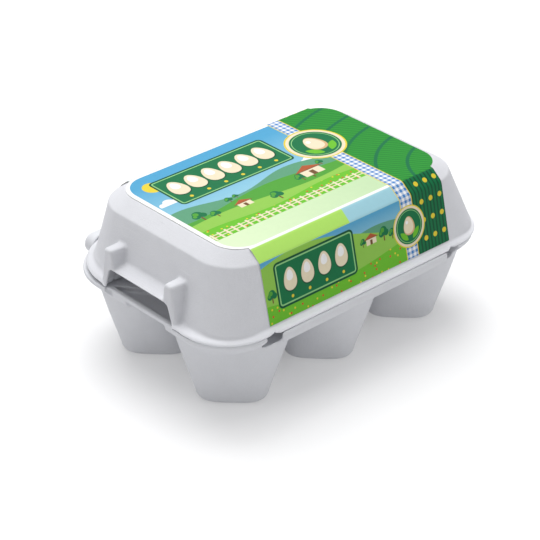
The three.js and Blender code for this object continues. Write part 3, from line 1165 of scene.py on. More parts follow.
class Graph:
    """One material and the nodes that are added to it."""

    def __init__(self, name: str) -> None:
        """Starts a material with its usual surface shader.

        Args:
            name: the material's name.
        """
        self.material = bpy.data.materials.new(name)
        self.material.use_nodes = True
        self.tree = self.material.node_tree
        self.shader = self.tree.nodes["Principled BSDF"]

    def add(self, kind: str, **settings: object) -> bpy.types.Node:
        """Adds one node.

        Args:
            kind: the node's type.
            settings: its settings, by their names.

        Returns:
            The node.
        """
        node = self.tree.nodes.new(kind)
        for name, value in settings.items():
            setattr(node, name, value)
        return node

    def feed(self, socket: bpy.types.NodeSocket, value: "Field | Ink | float | tuple") -> None:
        """Links a field to a socket, or sets the socket to an ink, a number or a vector.

        Args:
            socket: the socket.
            value: what it gets.
        """
        if isinstance(value, Field):
            self.tree.links.new(value.socket, socket)
        else:
            socket.default_value = value.linear if isinstance(value, Ink) else value

    def math(self, operation: str, *operands: "Field | float", clamp: bool = False) -> "Field":
        """Adds one step of arithmetic.

        Args:
            operation: its name.
            operands: what it works on.
            clamp: whether the result is kept between 0 and 1.

        Returns:
            The result.
        """
        node = self.add("ShaderNodeMath", operation=operation, use_clamp=clamp)
        for socket, operand in zip(node.inputs, operands):
            self.feed(socket, operand)
        return Field(self, node.outputs[0])

    def blend(self, share: "Field", low: "Field | Ink | tuple", high: "Field | Ink | tuple") -> "Field":
        """Mixes two colours.

        Args:
            share: how much of the second there is.
            low: the first colour.
            high: the second colour.

        Returns:
            The mix.
        """
        node = self.add("ShaderNodeMix", data_type="RGBA")
        sockets = {socket.identifier: socket for socket in [*node.inputs, *node.outputs]}
        self.feed(sockets["Factor_Float"], share)
        self.feed(sockets["A_Color"], low)
        self.feed(sockets["B_Color"], high)
        return Field(self, sockets["Result_Color"])

    def place(self) -> "Field":
        """Returns the piece's own coordinates in millimetres."""
        source = self.add("ShaderNodeTexCoord").outputs["Object"]
        return self.stretched(Field(self, source), (1 / MM, 1 / MM, 1 / MM))

    def noise(self, place: "Field", per_mm: float, detail: float = 2.0, roughness: float = 0.5) -> "Field":
        """Adds soft noise.

        Args:
            place: where it is read.
            per_mm: its swells to a millimetre.
            detail: its octaves.
            roughness: how strong the finer octaves are.

        Returns:
            The noise, from 0 to 1.
        """
        node = self.add("ShaderNodeTexNoise")
        self.feed(node.inputs["Vector"], place)
        node.inputs["Scale"].default_value = per_mm
        node.inputs["Detail"].default_value = detail
        node.inputs["Roughness"].default_value = roughness
        return Field(self, node.outputs["Fac"])

    def stretched(self, place: "Field", scale: tuple[float, float, float]) -> "Field":
        """Scales a place's axes, so that what is drawn there is drawn out.

        Args:
            place: the place.
            scale: each axis's factor.

        Returns:
            The scaled place.
        """
        mapping = self.add("ShaderNodeMapping")
        self.feed(mapping.inputs["Vector"], place)
        mapping.inputs["Scale"].default_value = scale
        return Field(self, mapping.outputs["Vector"])

    def split(self, place: "Field") -> tuple["Field", "Field", "Field"]:
        """Splits a place into its three parts.

        Args:
            place: the place.

        Returns:
            X, Y and Z.
        """
        node = self.add("ShaderNodeSeparateXYZ")
        self.feed(node.inputs["Vector"], place)
        return Field(self, node.outputs["X"]), Field(self, node.outputs["Y"]), Field(self, node.outputs["Z"])

    def scaled(self, colour: "Field | tuple", tone: "Field") -> "Field":
        """Makes a colour lighter or darker.

        Args:
            colour: the colour.
            tone: the factor.

        Returns:
            The scaled colour.
        """
        node = self.add("ShaderNodeVectorMath", operation="SCALE")
        self.feed(node.inputs[0], colour)
        self.feed(node.inputs["Scale"], tone)
        return Field(self, node.outputs["Vector"])

    def shade(self, values: dict[str, "Field | float | tuple"]) -> None:
        """Feeds the surface shader's sockets by their names."""
        for name, value in values.items():
            self.feed(self.shader.inputs[name], value)

    def bump(self, height: "Field", depth: float) -> "Field":
        """Gives the surface a relief.

        Args:
            height: how high it is, as shares of the depth.
            depth: its depth in millimetres.

        Returns:
            The surface's normal.
        """
        node = self.add("ShaderNodeBump")
        node.inputs["Distance"].default_value = depth * MM
        self.feed(node.inputs["Height"], height)
        return Field(self, node.outputs["Normal"])


@dataclass(frozen=True)
class Field:
    """A value that varies over a surface, held by one socket of a material's nodes.

    Distances to printed shapes are fields too, in millimetres and below 0 inside the shape: then | joins
    two shapes and & keeps what they share.

    Args:
        graph: the material.
        socket: the socket.
    """

    graph: Graph
    socket: bpy.types.NodeSocket

    def __add__(self, other: "Field | float") -> "Field":
        """Returns the sum."""
        return self.graph.math("ADD", self, other)

    def __sub__(self, other: "Field | float") -> "Field":
        """Returns the difference."""
        return self.graph.math("SUBTRACT", self, other)

    def __mul__(self, other: "Field | float") -> "Field":
        """Returns the product."""
        return self.graph.math("MULTIPLY", self, other)

    def __or__(self, other: "Field | float") -> "Field":
        """Returns the lower value, which joins two shapes."""
        return self.graph.math("MINIMUM", self, other)

    def __and__(self, other: "Field | float") -> "Field":
        """Returns the higher value, which keeps what two shapes share."""
        return self.graph.math("MAXIMUM", self, other)

    def __abs__(self) -> "Field":
        """Returns the size without its sign."""
        return self.graph.math("ABSOLUTE", self)

    def norm(self, other: "Field") -> "Field":
        """Returns the length of the arrow whose two parts are this field and another."""
        return self.graph.math("SQRT", self * self + other * other)

    def nearest(self, pitch: float) -> "Field":
        """Returns the distance to the nearest multiple of a pitch."""
        return self.graph.math("PINGPONG", self, pitch / 2)

    def share(self, low: float, high: float) -> "Field":
        """Returns 0 below one value, 1 above another, and a straight ramp between them."""
        return self.graph.math("MULTIPLY_ADD", self, 1 / (high - low), -low / (high - low), clamp=True)


SHEET_MAP = "sheet"


@dataclass(frozen=True)
class PulpFinish:
    """Felted pulp: soft mottling, loose fibres, a few specks and a matt, grainy skin.

    Args:
        name: the material's name.
        base: its mean linear colour.
        mottle: how far the broad clouds change the tone.
        fibre: how far the loose fibres change it.
        speckle: how far the finest grain changes it.
        speck_depth: how much darker a speck is.
        cloud_noise: the clouds' swells to a millimetre, detail and roughness.
        fibre_noise: the same for the fibres.
        fibre_stretch: the fibres' scale along each axis.
        grain_noise: the same as cloud_noise for the grain.
        speck_noise: the specks' swells to a millimetre and detail.
        speck_range: the noise at which a speck starts and is full.
        relief: the depth of the finest relief, in millimetres.
        relief_fibre: how strongly the fibres show in it.
        roughness: how matt it is.
        specular: how strongly it reflects.
        lip_highlight_top: the height up to which a painted highlight lightens the tone, standing in for
            the light that the rolled lip catches, in millimetres.
        lip_highlight_soft: how far that painted highlight fades out to either side.
        lip_highlight_gain: how much lighter the painted highlight makes it.
    """

    name: str
    base: tuple[float, float, float]
    mottle: float = 0.07
    fibre: float = 0.06
    speckle: float = 0.05
    speck_depth: float = 0.12
    cloud_noise: tuple[float, float, float] = (0.16, 4.0, 0.6)
    fibre_noise: tuple[float, float, float] = (1.0, 3.0, 0.7)
    fibre_stretch: tuple[float, float, float] = (0.35, 1.6, 1.3)
    grain_noise: tuple[float, float, float] = (1.5, 4.0, 0.65)
    speck_noise: tuple[float, float] = (0.85, 1.0)
    speck_range: tuple[float, float] = (0.79, 0.83)
    relief: float = 0.09
    relief_fibre: float = 0.7
    roughness: float = 0.93
    specular: float = 0.25
    lip_highlight_top: float = 39.4
    lip_highlight_soft: float = 0.4
    lip_highlight_gain: float = 0.0

    def make(self) -> bpy.types.Material:
        """Builds the finish.

        Returns:
            Its material.
        """
        graph = Graph(self.name)
        place = graph.place()
        clouds = graph.noise(place, *self.cloud_noise)
        fibres = graph.noise(graph.stretched(place, self.fibre_stretch), *self.fibre_noise)
        grain = graph.noise(place, *self.grain_noise)
        specks = graph.noise(place, *self.speck_noise).share(*self.speck_range)
        _, _, height = graph.split(place)
        # Painted highlight: the tone is lifted below a set height, standing in for the light caught by the
        # lid's rolled lip.
        painted_highlight = height.share(self.lip_highlight_top + self.lip_highlight_soft, self.lip_highlight_top - self.lip_highlight_soft)
        tone = (clouds - 0.5) * self.mottle + (fibres - 0.5) * self.fibre
        tone = tone + (grain - 0.5) * self.speckle + 1.0
        tone = tone - specks * self.speck_depth + painted_highlight * self.lip_highlight_gain
        graph.shade({
            "Base Color": graph.scaled(self.base, tone),
            "Normal": graph.bump(grain + fibres * self.relief_fibre, self.relief),
            "Roughness": self.roughness,
            "Specular IOR Level": self.specular,
        })
        return graph.material


@dataclass(frozen=True)
class PlainFinish:
    """An even matt finish with a faint drift of tone, for bare paper and the floor.

    Args:
        name: the material's name.
        base: its mean linear colour.
        per_mm: the drift's swells to a millimetre.
        drift: how far the tone drifts.
        roughness: how matt it is.
        glow: how strongly it shines by itself.
    """

    name: str
    base: tuple[float, float, float]
    per_mm: float
    drift: float = 0.02
    roughness: float = 0.85
    glow: float = 0.0

    def make(self) -> bpy.types.Material:
        """Builds the finish.

        Returns:
            Its material.
        """
        graph = Graph(self.name)
        tone = (graph.noise(graph.place(), self.per_mm) - 0.5) * self.drift + 1.0
        graph.shade({
            "Base Color": graph.scaled(self.base, tone),
            "Roughness": self.roughness,
            "Emission Color": (*self.base, 1.0),
            "Emission Strength": self.glow,
        })
        return graph.material


@dataclass
class Canvas:
    """The print's colour so far.

    Args:
        graph: the label's material.
        colour: the colour under the next layer.
        soft: the width of a printed edge, in millimetres.
    """

    graph: Graph
    colour: Field
    soft: float = 0.15

    def lay(self, ink: "Field | Ink", shape: Field, scale: float = 1.0) -> None:
        """Prints one ink over what is there.

        Args:
            ink: the ink or colour.
            shape: the distance to the shape that it fills.
            scale: the millimetres in one unit of that distance.
        """
        cover = self.graph.math("MULTIPLY_ADD", shape, -scale / self.soft, 0.5, clamp=True)
        self.colour = self.graph.blend(cover, self.colour, ink)


@dataclass(frozen=True)
class Spot:
    """A local origin and scale on the flat label, from which shapes are drawn.

    Args:
        canvas: what the shapes are printed on.
        x: the distance along the carton.
        w: the distance up the sheet.
        scale: the millimetres in one local unit.
    """

    canvas: Canvas
    x: Field
    w: Field
    scale: float = 1.0

    def at(self, x: float, w: float, scale: float = 1.0) -> "Spot":
        """Moves the origin.

        Args:
            x: the new origin's x, from here.
            w: its w, from here.
            scale: the new unit, in units from here.

        Returns:
            The new spot.
        """
        return replace(
            self,
            x=(self.x - x) * (1 / scale),
            w=(self.w - w) * (1 / scale),
            scale=self.scale * scale,
        )

    def mirrored(self) -> "Spot":
        """Returns the same spot with up and right turned round, for a panel that is read from behind."""
        return replace(self, x=self.x * -1.0, w=self.w * -1.0)

    def lay(self, ink: Field | Ink, shape: Field) -> None:
        """Prints a shape in one ink."""
        self.canvas.lay(ink, shape, self.scale)

    def disc(self, x: float, w: float, radius: float) -> Field:
        """Returns a round disc."""
        return (self.x - x).norm(self.w - w) - radius

    def box(self, x: float, w: float, half_x: float, half_w: float, corner: float = 0.0) -> Field:
        """Draws an upright rectangle.

        Args:
            x: its middle along the carton.
            w: its middle up the sheet.
            half_x: half its length.
            half_w: half its height.
            corner: its corners' radius, 0 where they are sharp.

        Returns:
            The distance to it.
        """
        over_x = abs(self.x - x) - (half_x - corner)
        over_w = abs(self.w - w) - (half_w - corner)
        if not corner:
            return over_x & over_w
        outside = (over_x & 0.0).norm(over_w & 0.0)
        inside = (over_x & over_w) | 0.0
        return outside + inside - corner

    def egg(self, across: Field, w: float, half_x: float, half_w: float) -> Field:
        """Draws an egg that stands on its blunt end.

        Args:
            across: the distance across from its middle.
            w: the height of its middle.
            half_x: half its width.
            half_w: half its height.

        Returns:
            The distance to it.
        """
        rise = (self.w - w) * (1 / half_w)
        width = (rise * 0.22 + 1.0) * (1 / half_x)
        return ((across * width).norm(rise) - 1.0) * half_x

    def below(self, height: float, swing: float, length: float, phase: float) -> Field:
        """Draws all that lies below a wavy line.

        Args:
            height: the line's mean height.
            swing: its swing to either side.
            length: its wave's length over a full circle's angle.
            phase: where the wave starts, as an angle.

        Returns:
            The distance to it.
        """
        wave = self.canvas.graph.math("SINE", self.x * (1 / length) + phase)
        return self.w - height - wave * swing

    def dots(self, pitch_x: float, pitch_w: float, radius: float) -> Field:
        """Returns rows of dots, one of them at the origin."""
        return self.x.nearest(pitch_x).norm(self.w.nearest(pitch_w)) - radius

    def scatter(self, per_unit: float, radius: float, offset: float) -> Field:
        """Draws small dots strewn at random.

        Args:
            per_unit: how many there are to a unit.
            radius: their radius.
            offset: where the random pattern starts.

        Returns:
            The distance to them.
        """
        graph = self.canvas.graph
        joined = graph.add("ShaderNodeCombineXYZ")
        graph.feed(joined.inputs["X"], self.x + offset)
        graph.feed(joined.inputs["Y"], self.w)
        cells = graph.add("ShaderNodeTexVoronoi", voronoi_dimensions="2D")
        graph.feed(cells.inputs["Vector"], Field(graph, joined.outputs["Vector"]))
        cells.inputs["Scale"].default_value = per_unit
        return Field(graph, cells.outputs["Distance"]) * (1 / per_unit) - radius


@dataclass(frozen=True)
class Landscape:
    """One panel's farm picture, in millimetres from its foot.

    Args:
        hills: each hill's ink, height, swing, length and phase, from the back.
        trees: each tree's x, foot and size.
        barns: each barn's x, foot and size.
        clouds: each cloud's x, foot and size.
        poppies: how many poppies there are to a millimetre, their radius and where they start.
        buttercups: the same for the buttercups.
    """

    hills: tuple[tuple[Ink, float, float, float, float], ...]
    trees: tuple[tuple[float, float, float], ...]
    barns: tuple[tuple[float, float, float], ...]
    clouds: tuple[tuple[float, float, float], ...] = ()
    poppies: tuple[float, float, float] = (0.19, 0.45, 3.0)
    buttercups: tuple[float, float, float] = (0.2, 0.42, 71.0)

    def lay(self, spot: Spot, clip: Field) -> None:
        """Prints the clouds, the layered hills with their flowers, the trees and the barns.

        Args:
            spot: the foot of the picture.
            clip: what the hills stay inside.
        """
        for place in self.clouds:
            self.cloud(spot.at(*place))
        for ink, *wave in self.hills:
            spot.lay(ink, spot.below(*wave) & clip)
        meadow = clip & spot.below(*self.hills[-1][1:])
        spot.lay(Ink.POPPY, spot.scatter(*self.poppies) & meadow)
        spot.lay(Ink.SUN, spot.scatter(*self.buttercups) & meadow)
        for place in self.trees:
            self.tree(spot.at(*place))
        for place in self.barns:
            self.barn(spot.at(*place))

    @staticmethod
    def cloud(spot: Spot) -> None:
        """Prints one flat-footed cloud above a spot."""
        puffs = spot.disc(-4.0, 0.6, 2.4) | spot.disc(0.0, 1.8, 3.3) | spot.disc(4.2, 0.7, 2.5)
        spot.lay(Ink.PAPER, puffs & (spot.w * -1.0 - 0.4))

    @staticmethod
    def tree(spot: Spot) -> None:
        """Prints one round tree.

        Args:
            spot: the tree's foot.
        """
        spot.lay(Ink.TRUNK, spot.box(0.0, 1.0, 0.32, 1.2))
        crown = spot.disc(0.0, 4.0, 1.9) | spot.disc(-1.3, 3.0, 1.4) | spot.disc(1.3, 3.0, 1.4)
        spot.lay(Ink.FOREST, crown)
        spot.lay(Ink.PASTURE, spot.disc(-0.5, 4.4, 1.0) | spot.disc(-1.6, 3.3, 0.7))

    @staticmethod
    def barn(spot: Spot) -> None:
        """Prints one low barn.

        Args:
            spot: the barn's foot.
        """
        spot.lay(Ink.CREAM, spot.box(0.0, 1.3, 3.0, 1.5))
        spot.lay(Ink.TILE, (abs(spot.x) * 0.55 + spot.w - 4.9) & (spot.w * -1.0 + 2.5))
        spot.lay(Ink.TRUNK, spot.box(0.0, 0.8, 0.7, 1.1) | spot.box(0.0, 2.6, 4.2, 0.14))


ROOF_PICTURE = Landscape(
    hills=(
        (Ink.RIDGE, 25.0, 2.6, 9.0, 1.0),
        (Ink.PASTURE, 19.5, 2.2, 13.0, 2.4),
        (Ink.SLOPE, 13.5, 2.0, 15.0, 4.2),
        (Ink.MEADOW, 7.5, 1.2, 10.0, 0.4),
    ),
    trees=(
        (-47.0, 15.5, 1.25), (-41.0, 13.8, 0.9), (-30.0, 19.5, 0.7), (-26.0, 20.5, 0.55),
        (-13.0, 8.4, 1.15), (4.0, 13.6, 1.0), (9.0, 13.0, 1.35), (18.5, 19.0, 0.7),
    ),
    barns=((11.0, 15.0, 1.7), (-27.0, 13.5, 1.1)),
    clouds=((-49.0, 34.0, 0.8), (17.0, 25.5, 0.55)),
)
WALL_PICTURE = Landscape(
    hills=(
        (Ink.RIDGE, 18.6, 1.6, 9.0, 0.4),
        (Ink.SLOPE, 19.0, 7.0, 22.0, 2.93),
        (Ink.MEADOW, 8.6, 3.6, 24.0, 5.4),
    ),
    trees=((14.5, 12.6, 1.0), (19.0, 11.8, 0.75), (3.0, 13.6, 0.6), (-46.0, 8.5, 0.9)),
    barns=((7.5, 13.6, 0.9),),
)


@dataclass(frozen=True)
class EggPanel:
    """A dark panel with a light rim and a row of eggs above small dots.

    Args:
        x: its middle along the carton.
        w: its middle up the sheet.
        half_x: half its length.
        half_w: half its height.
        count: how many eggs it shows.
        corner: its corners' radius.
        rim_inset: how far inside its edge the light rim runs.
        rim_half: half the light rim's width.
        margin: what stays free at either end of the row.
        layers: each egg layer's ink, its rise as a share of half_w, and its half width and half height
            as shares of half an egg's height.
        dot_drop: how far below the middle the dots lie, as a share of half_w.
        dot_radius: the dots' radius, as a share of half_w.
    """

    x: float
    w: float
    half_x: float
    half_w: float
    count: int
    corner: float = 2.2
    rim_inset: float = 1.2
    rim_half: float = 0.3
    margin: float = 3.0
    layers: tuple[tuple[Ink, float, float, float], ...] = (
        (Ink.SHADE, 0.06, 0.74, 1.04), (Ink.CREAM, 0.1, 0.68, 1.0), (Ink.PAPER, 0.26, 0.34, 0.46),
    )
    dot_drop: float = 0.66
    dot_radius: float = 0.07

    def lay(self, sheet: Spot) -> None:
        """Prints the panel.

        Args:
            sheet: the spot that the panel's middle is measured from.
        """
        spot = sheet.at(self.x, self.w)
        panel = spot.box(0.0, 0.0, self.half_x, self.half_w, self.corner)
        spot.lay(Ink.SHADE, panel)
        spot.lay(Ink.BORDER, abs(panel + self.rim_inset) - self.rim_half)
        spot.lay(Ink.FOREST, panel + (self.rim_inset + self.rim_half))
        pitch = 2 * (self.half_x - self.margin) / self.count
        across = (spot.x + (pitch / 2 if self.count % 2 == 0 else 0.0)).nearest(pitch)
        row = spot.box(0.0, 0.0, self.count * pitch / 2, self.half_w)
        tall = self.half_w / 2
        for ink, rise, wide, high in self.layers:
            egg = spot.egg(across, self.half_w * rise, tall * wide, tall * high)
            spot.lay(ink, egg & row)
        dots = across.norm(spot.w + self.half_w * self.dot_drop) - self.half_w * self.dot_radius
        spot.lay(Ink.SUN, dots & row)


@dataclass
class LabelPrint:
    """The label's generic farm print: sky and hills, egg panels, a checked ribbon and a ruled field.

    Lengths are in millimetres on the flat sheet, where x runs along the carton and w up from the front
    foot, over the roof and down to the back foot.

    Args:
        creases: the height of each fold up the sheet.
        length: the sheet's whole height.
        ribbon_x: the ribbon's middle.
        ribbon_half: half the ribbon's width.
        check: the pitch of the ribbon's checks.
        stripe_depth: the pale stripe's height along the roof's front.
        stripe_fade: from where to where the stripe dims.
        sky_fade: from where to where the sky deepens, above the roof's front.
        sun: the sun's x, its height above the roof's front, and its radius.
        border: the white border's width along the roof's front and back.
        picture_half_x: half the roof picture's length.
        picture_corner: the roof picture's corner radius.
        behind_x: where the back wall's print has its middle.
        roof_badge: the roof badge's height above the roof's front, and its size.
        wall_badge: the front badge's height and size.
        roof_panel: the roof's egg panel, above the roof's front.
        wall_panel: each long wall's egg panel.
        density: how light the printed paper is.
        mottle: how far the paper's tone drifts.
        mottle_noise: the drift's swells to a millimetre and octaves.
        roughness: how matt the paper is.
        specular: how strongly it reflects.
        everywhere: a length beyond the sheet's ends.
    """

    creases: Sequence[float]
    length: float
    ribbon_x: float = 28.5
    ribbon_half: float = 3.0
    check: float = 2.4
    stripe_depth: float = 13.0
    stripe_fade: tuple[float, float] = (-50.0, 25.0)
    sky_fade: tuple[float, float] = (22.0, 66.0)
    sun: tuple[float, float, float] = (-46.0, 62.5, 4.2)
    border: float = 1.4
    picture_half_x: float = 54.9
    picture_corner: float = 10.2
    behind_x: float = -22.0
    roof_badge: tuple[float, float] = (47.0, 1.2)
    wall_badge: tuple[float, float] = (13.5, 0.8)
    roof_panel: EggPanel = EggPanel(-16.0, 54.5, 30.0, 11.5, 6)
    wall_panel: EggPanel = EggPanel(-22.5, 14.0, 21.0, 9.4, 4)
    density: float = 0.7
    mottle: float = 0.04
    mottle_noise: tuple[float, float] = (0.5, 3.0)
    roughness: float = 0.6
    specular: float = 0.15
    everywhere: float = 200.0

    def draw(self) -> bpy.types.Material:
        """Prints every layer.

        Returns:
            The label's material.
        """
        graph = Graph("label_print")
        uv = graph.add("ShaderNodeUVMap", uv_map=SHEET_MAP)
        x, w, _ = graph.split(Field(graph, uv.outputs["UV"]))
        front_shoulder, roof_front, roof_back, back_shoulder = self.creases
        sky = graph.blend((w - roof_front).share(*self.sky_fade), Ink.HAZE, Ink.SKY)
        sheet = Spot(Canvas(graph, sky), x, w)
        self.roof(sheet, roof_front, roof_back)
        self.wall(sheet, front_shoulder, roof_front)
        behind = sheet.at(self.behind_x, self.length).mirrored()
        self.wall(behind, self.length - back_shoulder, self.length - roof_back)
        self.farm_field(sheet)
        self.ribbon(sheet)
        self.roof_panel.lay(sheet.at(0.0, roof_front))
        for above, (height, size) in ((roof_front, self.roof_badge), (0.0, self.wall_badge)):
            self.badge(sheet.at(self.ribbon_x, above + height, size))
        drift = graph.noise(graph.place(), *self.mottle_noise) * self.mottle
        tone = drift + (self.density - self.mottle / 2)
        graph.shade({
            "Base Color": graph.scaled(sheet.canvas.colour, tone),
            "Roughness": self.roughness,
            "Specular IOR Level": self.specular,
        })
        log.info("%s: %d nodes", graph.material.name, len(graph.tree.nodes))
        return graph.material

    @staticmethod
    def band(spot: Spot, low: float, high: float) -> Field:
        """Returns the strip of the sheet between two heights."""
        return abs(spot.w - (low + high) / 2) - (high - low) / 2

    def roof(self, sheet: Spot, front: float, back: float) -> None:
        """Prints the roof's picture, the pale stripe and the white border.

        Args:
            sheet: the whole sheet.
            front: the height of the roof's front crease.
            back: the height of its back crease.
        """
        graph = sheet.canvas.graph
        strip = self.band(sheet, front, back)
        sun_x, sun_rise, sun_radius = self.sun
        sheet.lay(Ink.SUN, sheet.disc(sun_x, front + sun_rise, sun_radius))
        foot = sheet.at(0.0, front + self.stripe_depth)
        ROOF_PICTURE.lay(foot, strip)
        self.fence(foot, strip)
        pale = graph.blend(sheet.x.share(*self.stripe_fade), Ink.STRIPE, Ink.STRIPE_DIM)
        sheet.lay(pale, self.band(sheet, front, front + self.stripe_depth))
        middle = (front + back) / 2
        half_w = middle - front - self.border
        picture = sheet.box(0.0, middle, self.picture_half_x, half_w, self.picture_corner)
        sheet.lay(Ink.PAPER, picture * -1.0)

    def fence(self, spot: Spot, clip: Field) -> None:
        """Prints a picket fence along the foot of a picture.

        Args:
            spot: the foot of the picture.
            clip: what the fence stays inside.
        """
        rails = spot.box(0.0, 2.2, self.everywhere, 0.28) | spot.box(0.0, 3.9, self.everywhere, 0.28)
        posts = (spot.x.nearest(3.6) - 0.5) & (abs(spot.w - 2.6) - 2.4)
        spot.lay(Ink.CREAM, (rails | posts) & clip)

    def wall(self, spot: Spot, shoulder: float, crease: float) -> None:
        """Prints one long wall and the bevel above it.

        Args:
            spot: the wall's foot.
            shoulder: the height of the bevel's foot.
            crease: the height of its top.
        """
        graph = spot.canvas.graph
        wall = self.band(spot, -10.0, shoulder)
        spot.lay(graph.blend((spot.w - 12.0).share(0.0, 14.0), Ink.HAZE, Ink.SKY), wall)
        WALL_PICTURE.lay(spot, wall)
        bevel = self.band(spot, shoulder, crease)
        spot.lay(Ink.LIME, bevel)
        spot.lay(Ink.HAZE, bevel & (spot.x * -1.0 - 2.0))
        self.wall_panel.lay(spot)

    def farm_field(self, spot: Spot) -> None:
        """Prints the ruled field right of the ribbon: arcs on the roof, ribs and dots on the walls.

        Args:
            spot: the whole sheet.
        """
        shoulder, crease, back_crease, _ = self.creases
        right = spot.x * -1.0 + self.ribbon_x
        spot.lay(Ink.FIELD, right)
        furrows = (spot.x * 0.55 + spot.w * 0.835).nearest(1.7) - 0.42
        spot.lay(Ink.FURROW, furrows & right)
        arcs = (spot.x - 64.0).norm(spot.w - (crease - 8.0)).nearest(13.0) - 0.75
        spot.lay(Ink.FOREST, arcs & right)
        walls = self.band(spot, crease, back_crease) * -1.0
        spot.lay(Ink.FOREST, walls & right)
        ribs = spot.x.nearest(1.9) - 0.4
        spot.lay(Ink.SHADE, ribs & walls & right)
        inner = spot.x * -1.0 + (self.ribbon_x + self.ribbon_half + 1.5)
        spot.lay(Ink.SUN, spot.at(37.0, shoulder - 4.6).dots(5.2, 7.8, 1.1) & walls & inner)

    def ribbon(self, spot: Spot) -> None:
        """Prints the checked ribbon that runs over the whole sheet.

        Args:
            spot: the whole sheet.
        """
        graph = spot.canvas.graph
        local = spot.at(self.ribbon_x, 0.0)
        band = abs(local.x) - self.ribbon_half
        local.lay(Ink.SUN, band - 0.45)
        local.lay(Ink.PAPER, band)
        along, across = (
            (way.nearest(self.check) - self.check / 4).share(0.08, -0.08) for way in (local.x, local.w)
        )
        local.lay(graph.blend((along + across) * 0.5, Ink.PAPER, Ink.CHECK), band)

    @staticmethod
    def badge(spot: Spot) -> None:
        """Prints the round badge with one egg between two leaves.

        Args:
            spot: the badge's middle.
        """
        for ink, radius in ((Ink.SUN, 11.0), (Ink.CREAM, 10.4), (Ink.FOREST, 9.2)):
            spot.lay(ink, spot.disc(0.0, 0.0, radius))
        spot.lay(Ink.BORDER, abs(spot.disc(0.0, 0.0, 8.3)) - 0.15)
        for side in (-1.0, 1.0):
            leaf = spot.disc(side * 1.6, -2.0, 4.8) & spot.disc(side * 6.4, -6.6, 4.8)
            spot.lay(Ink.MEADOW, leaf)
        spot.lay(Ink.SHELL, spot.egg(spot.x, 0.4, 3.7, 4.9))
        spot.lay(Ink.CREAM, spot.egg(spot.x + 0.35, 0.7, 3.2, 4.3))
        spot.lay(Ink.PAPER, spot.disc(-1.2, 2.4, 0.9))


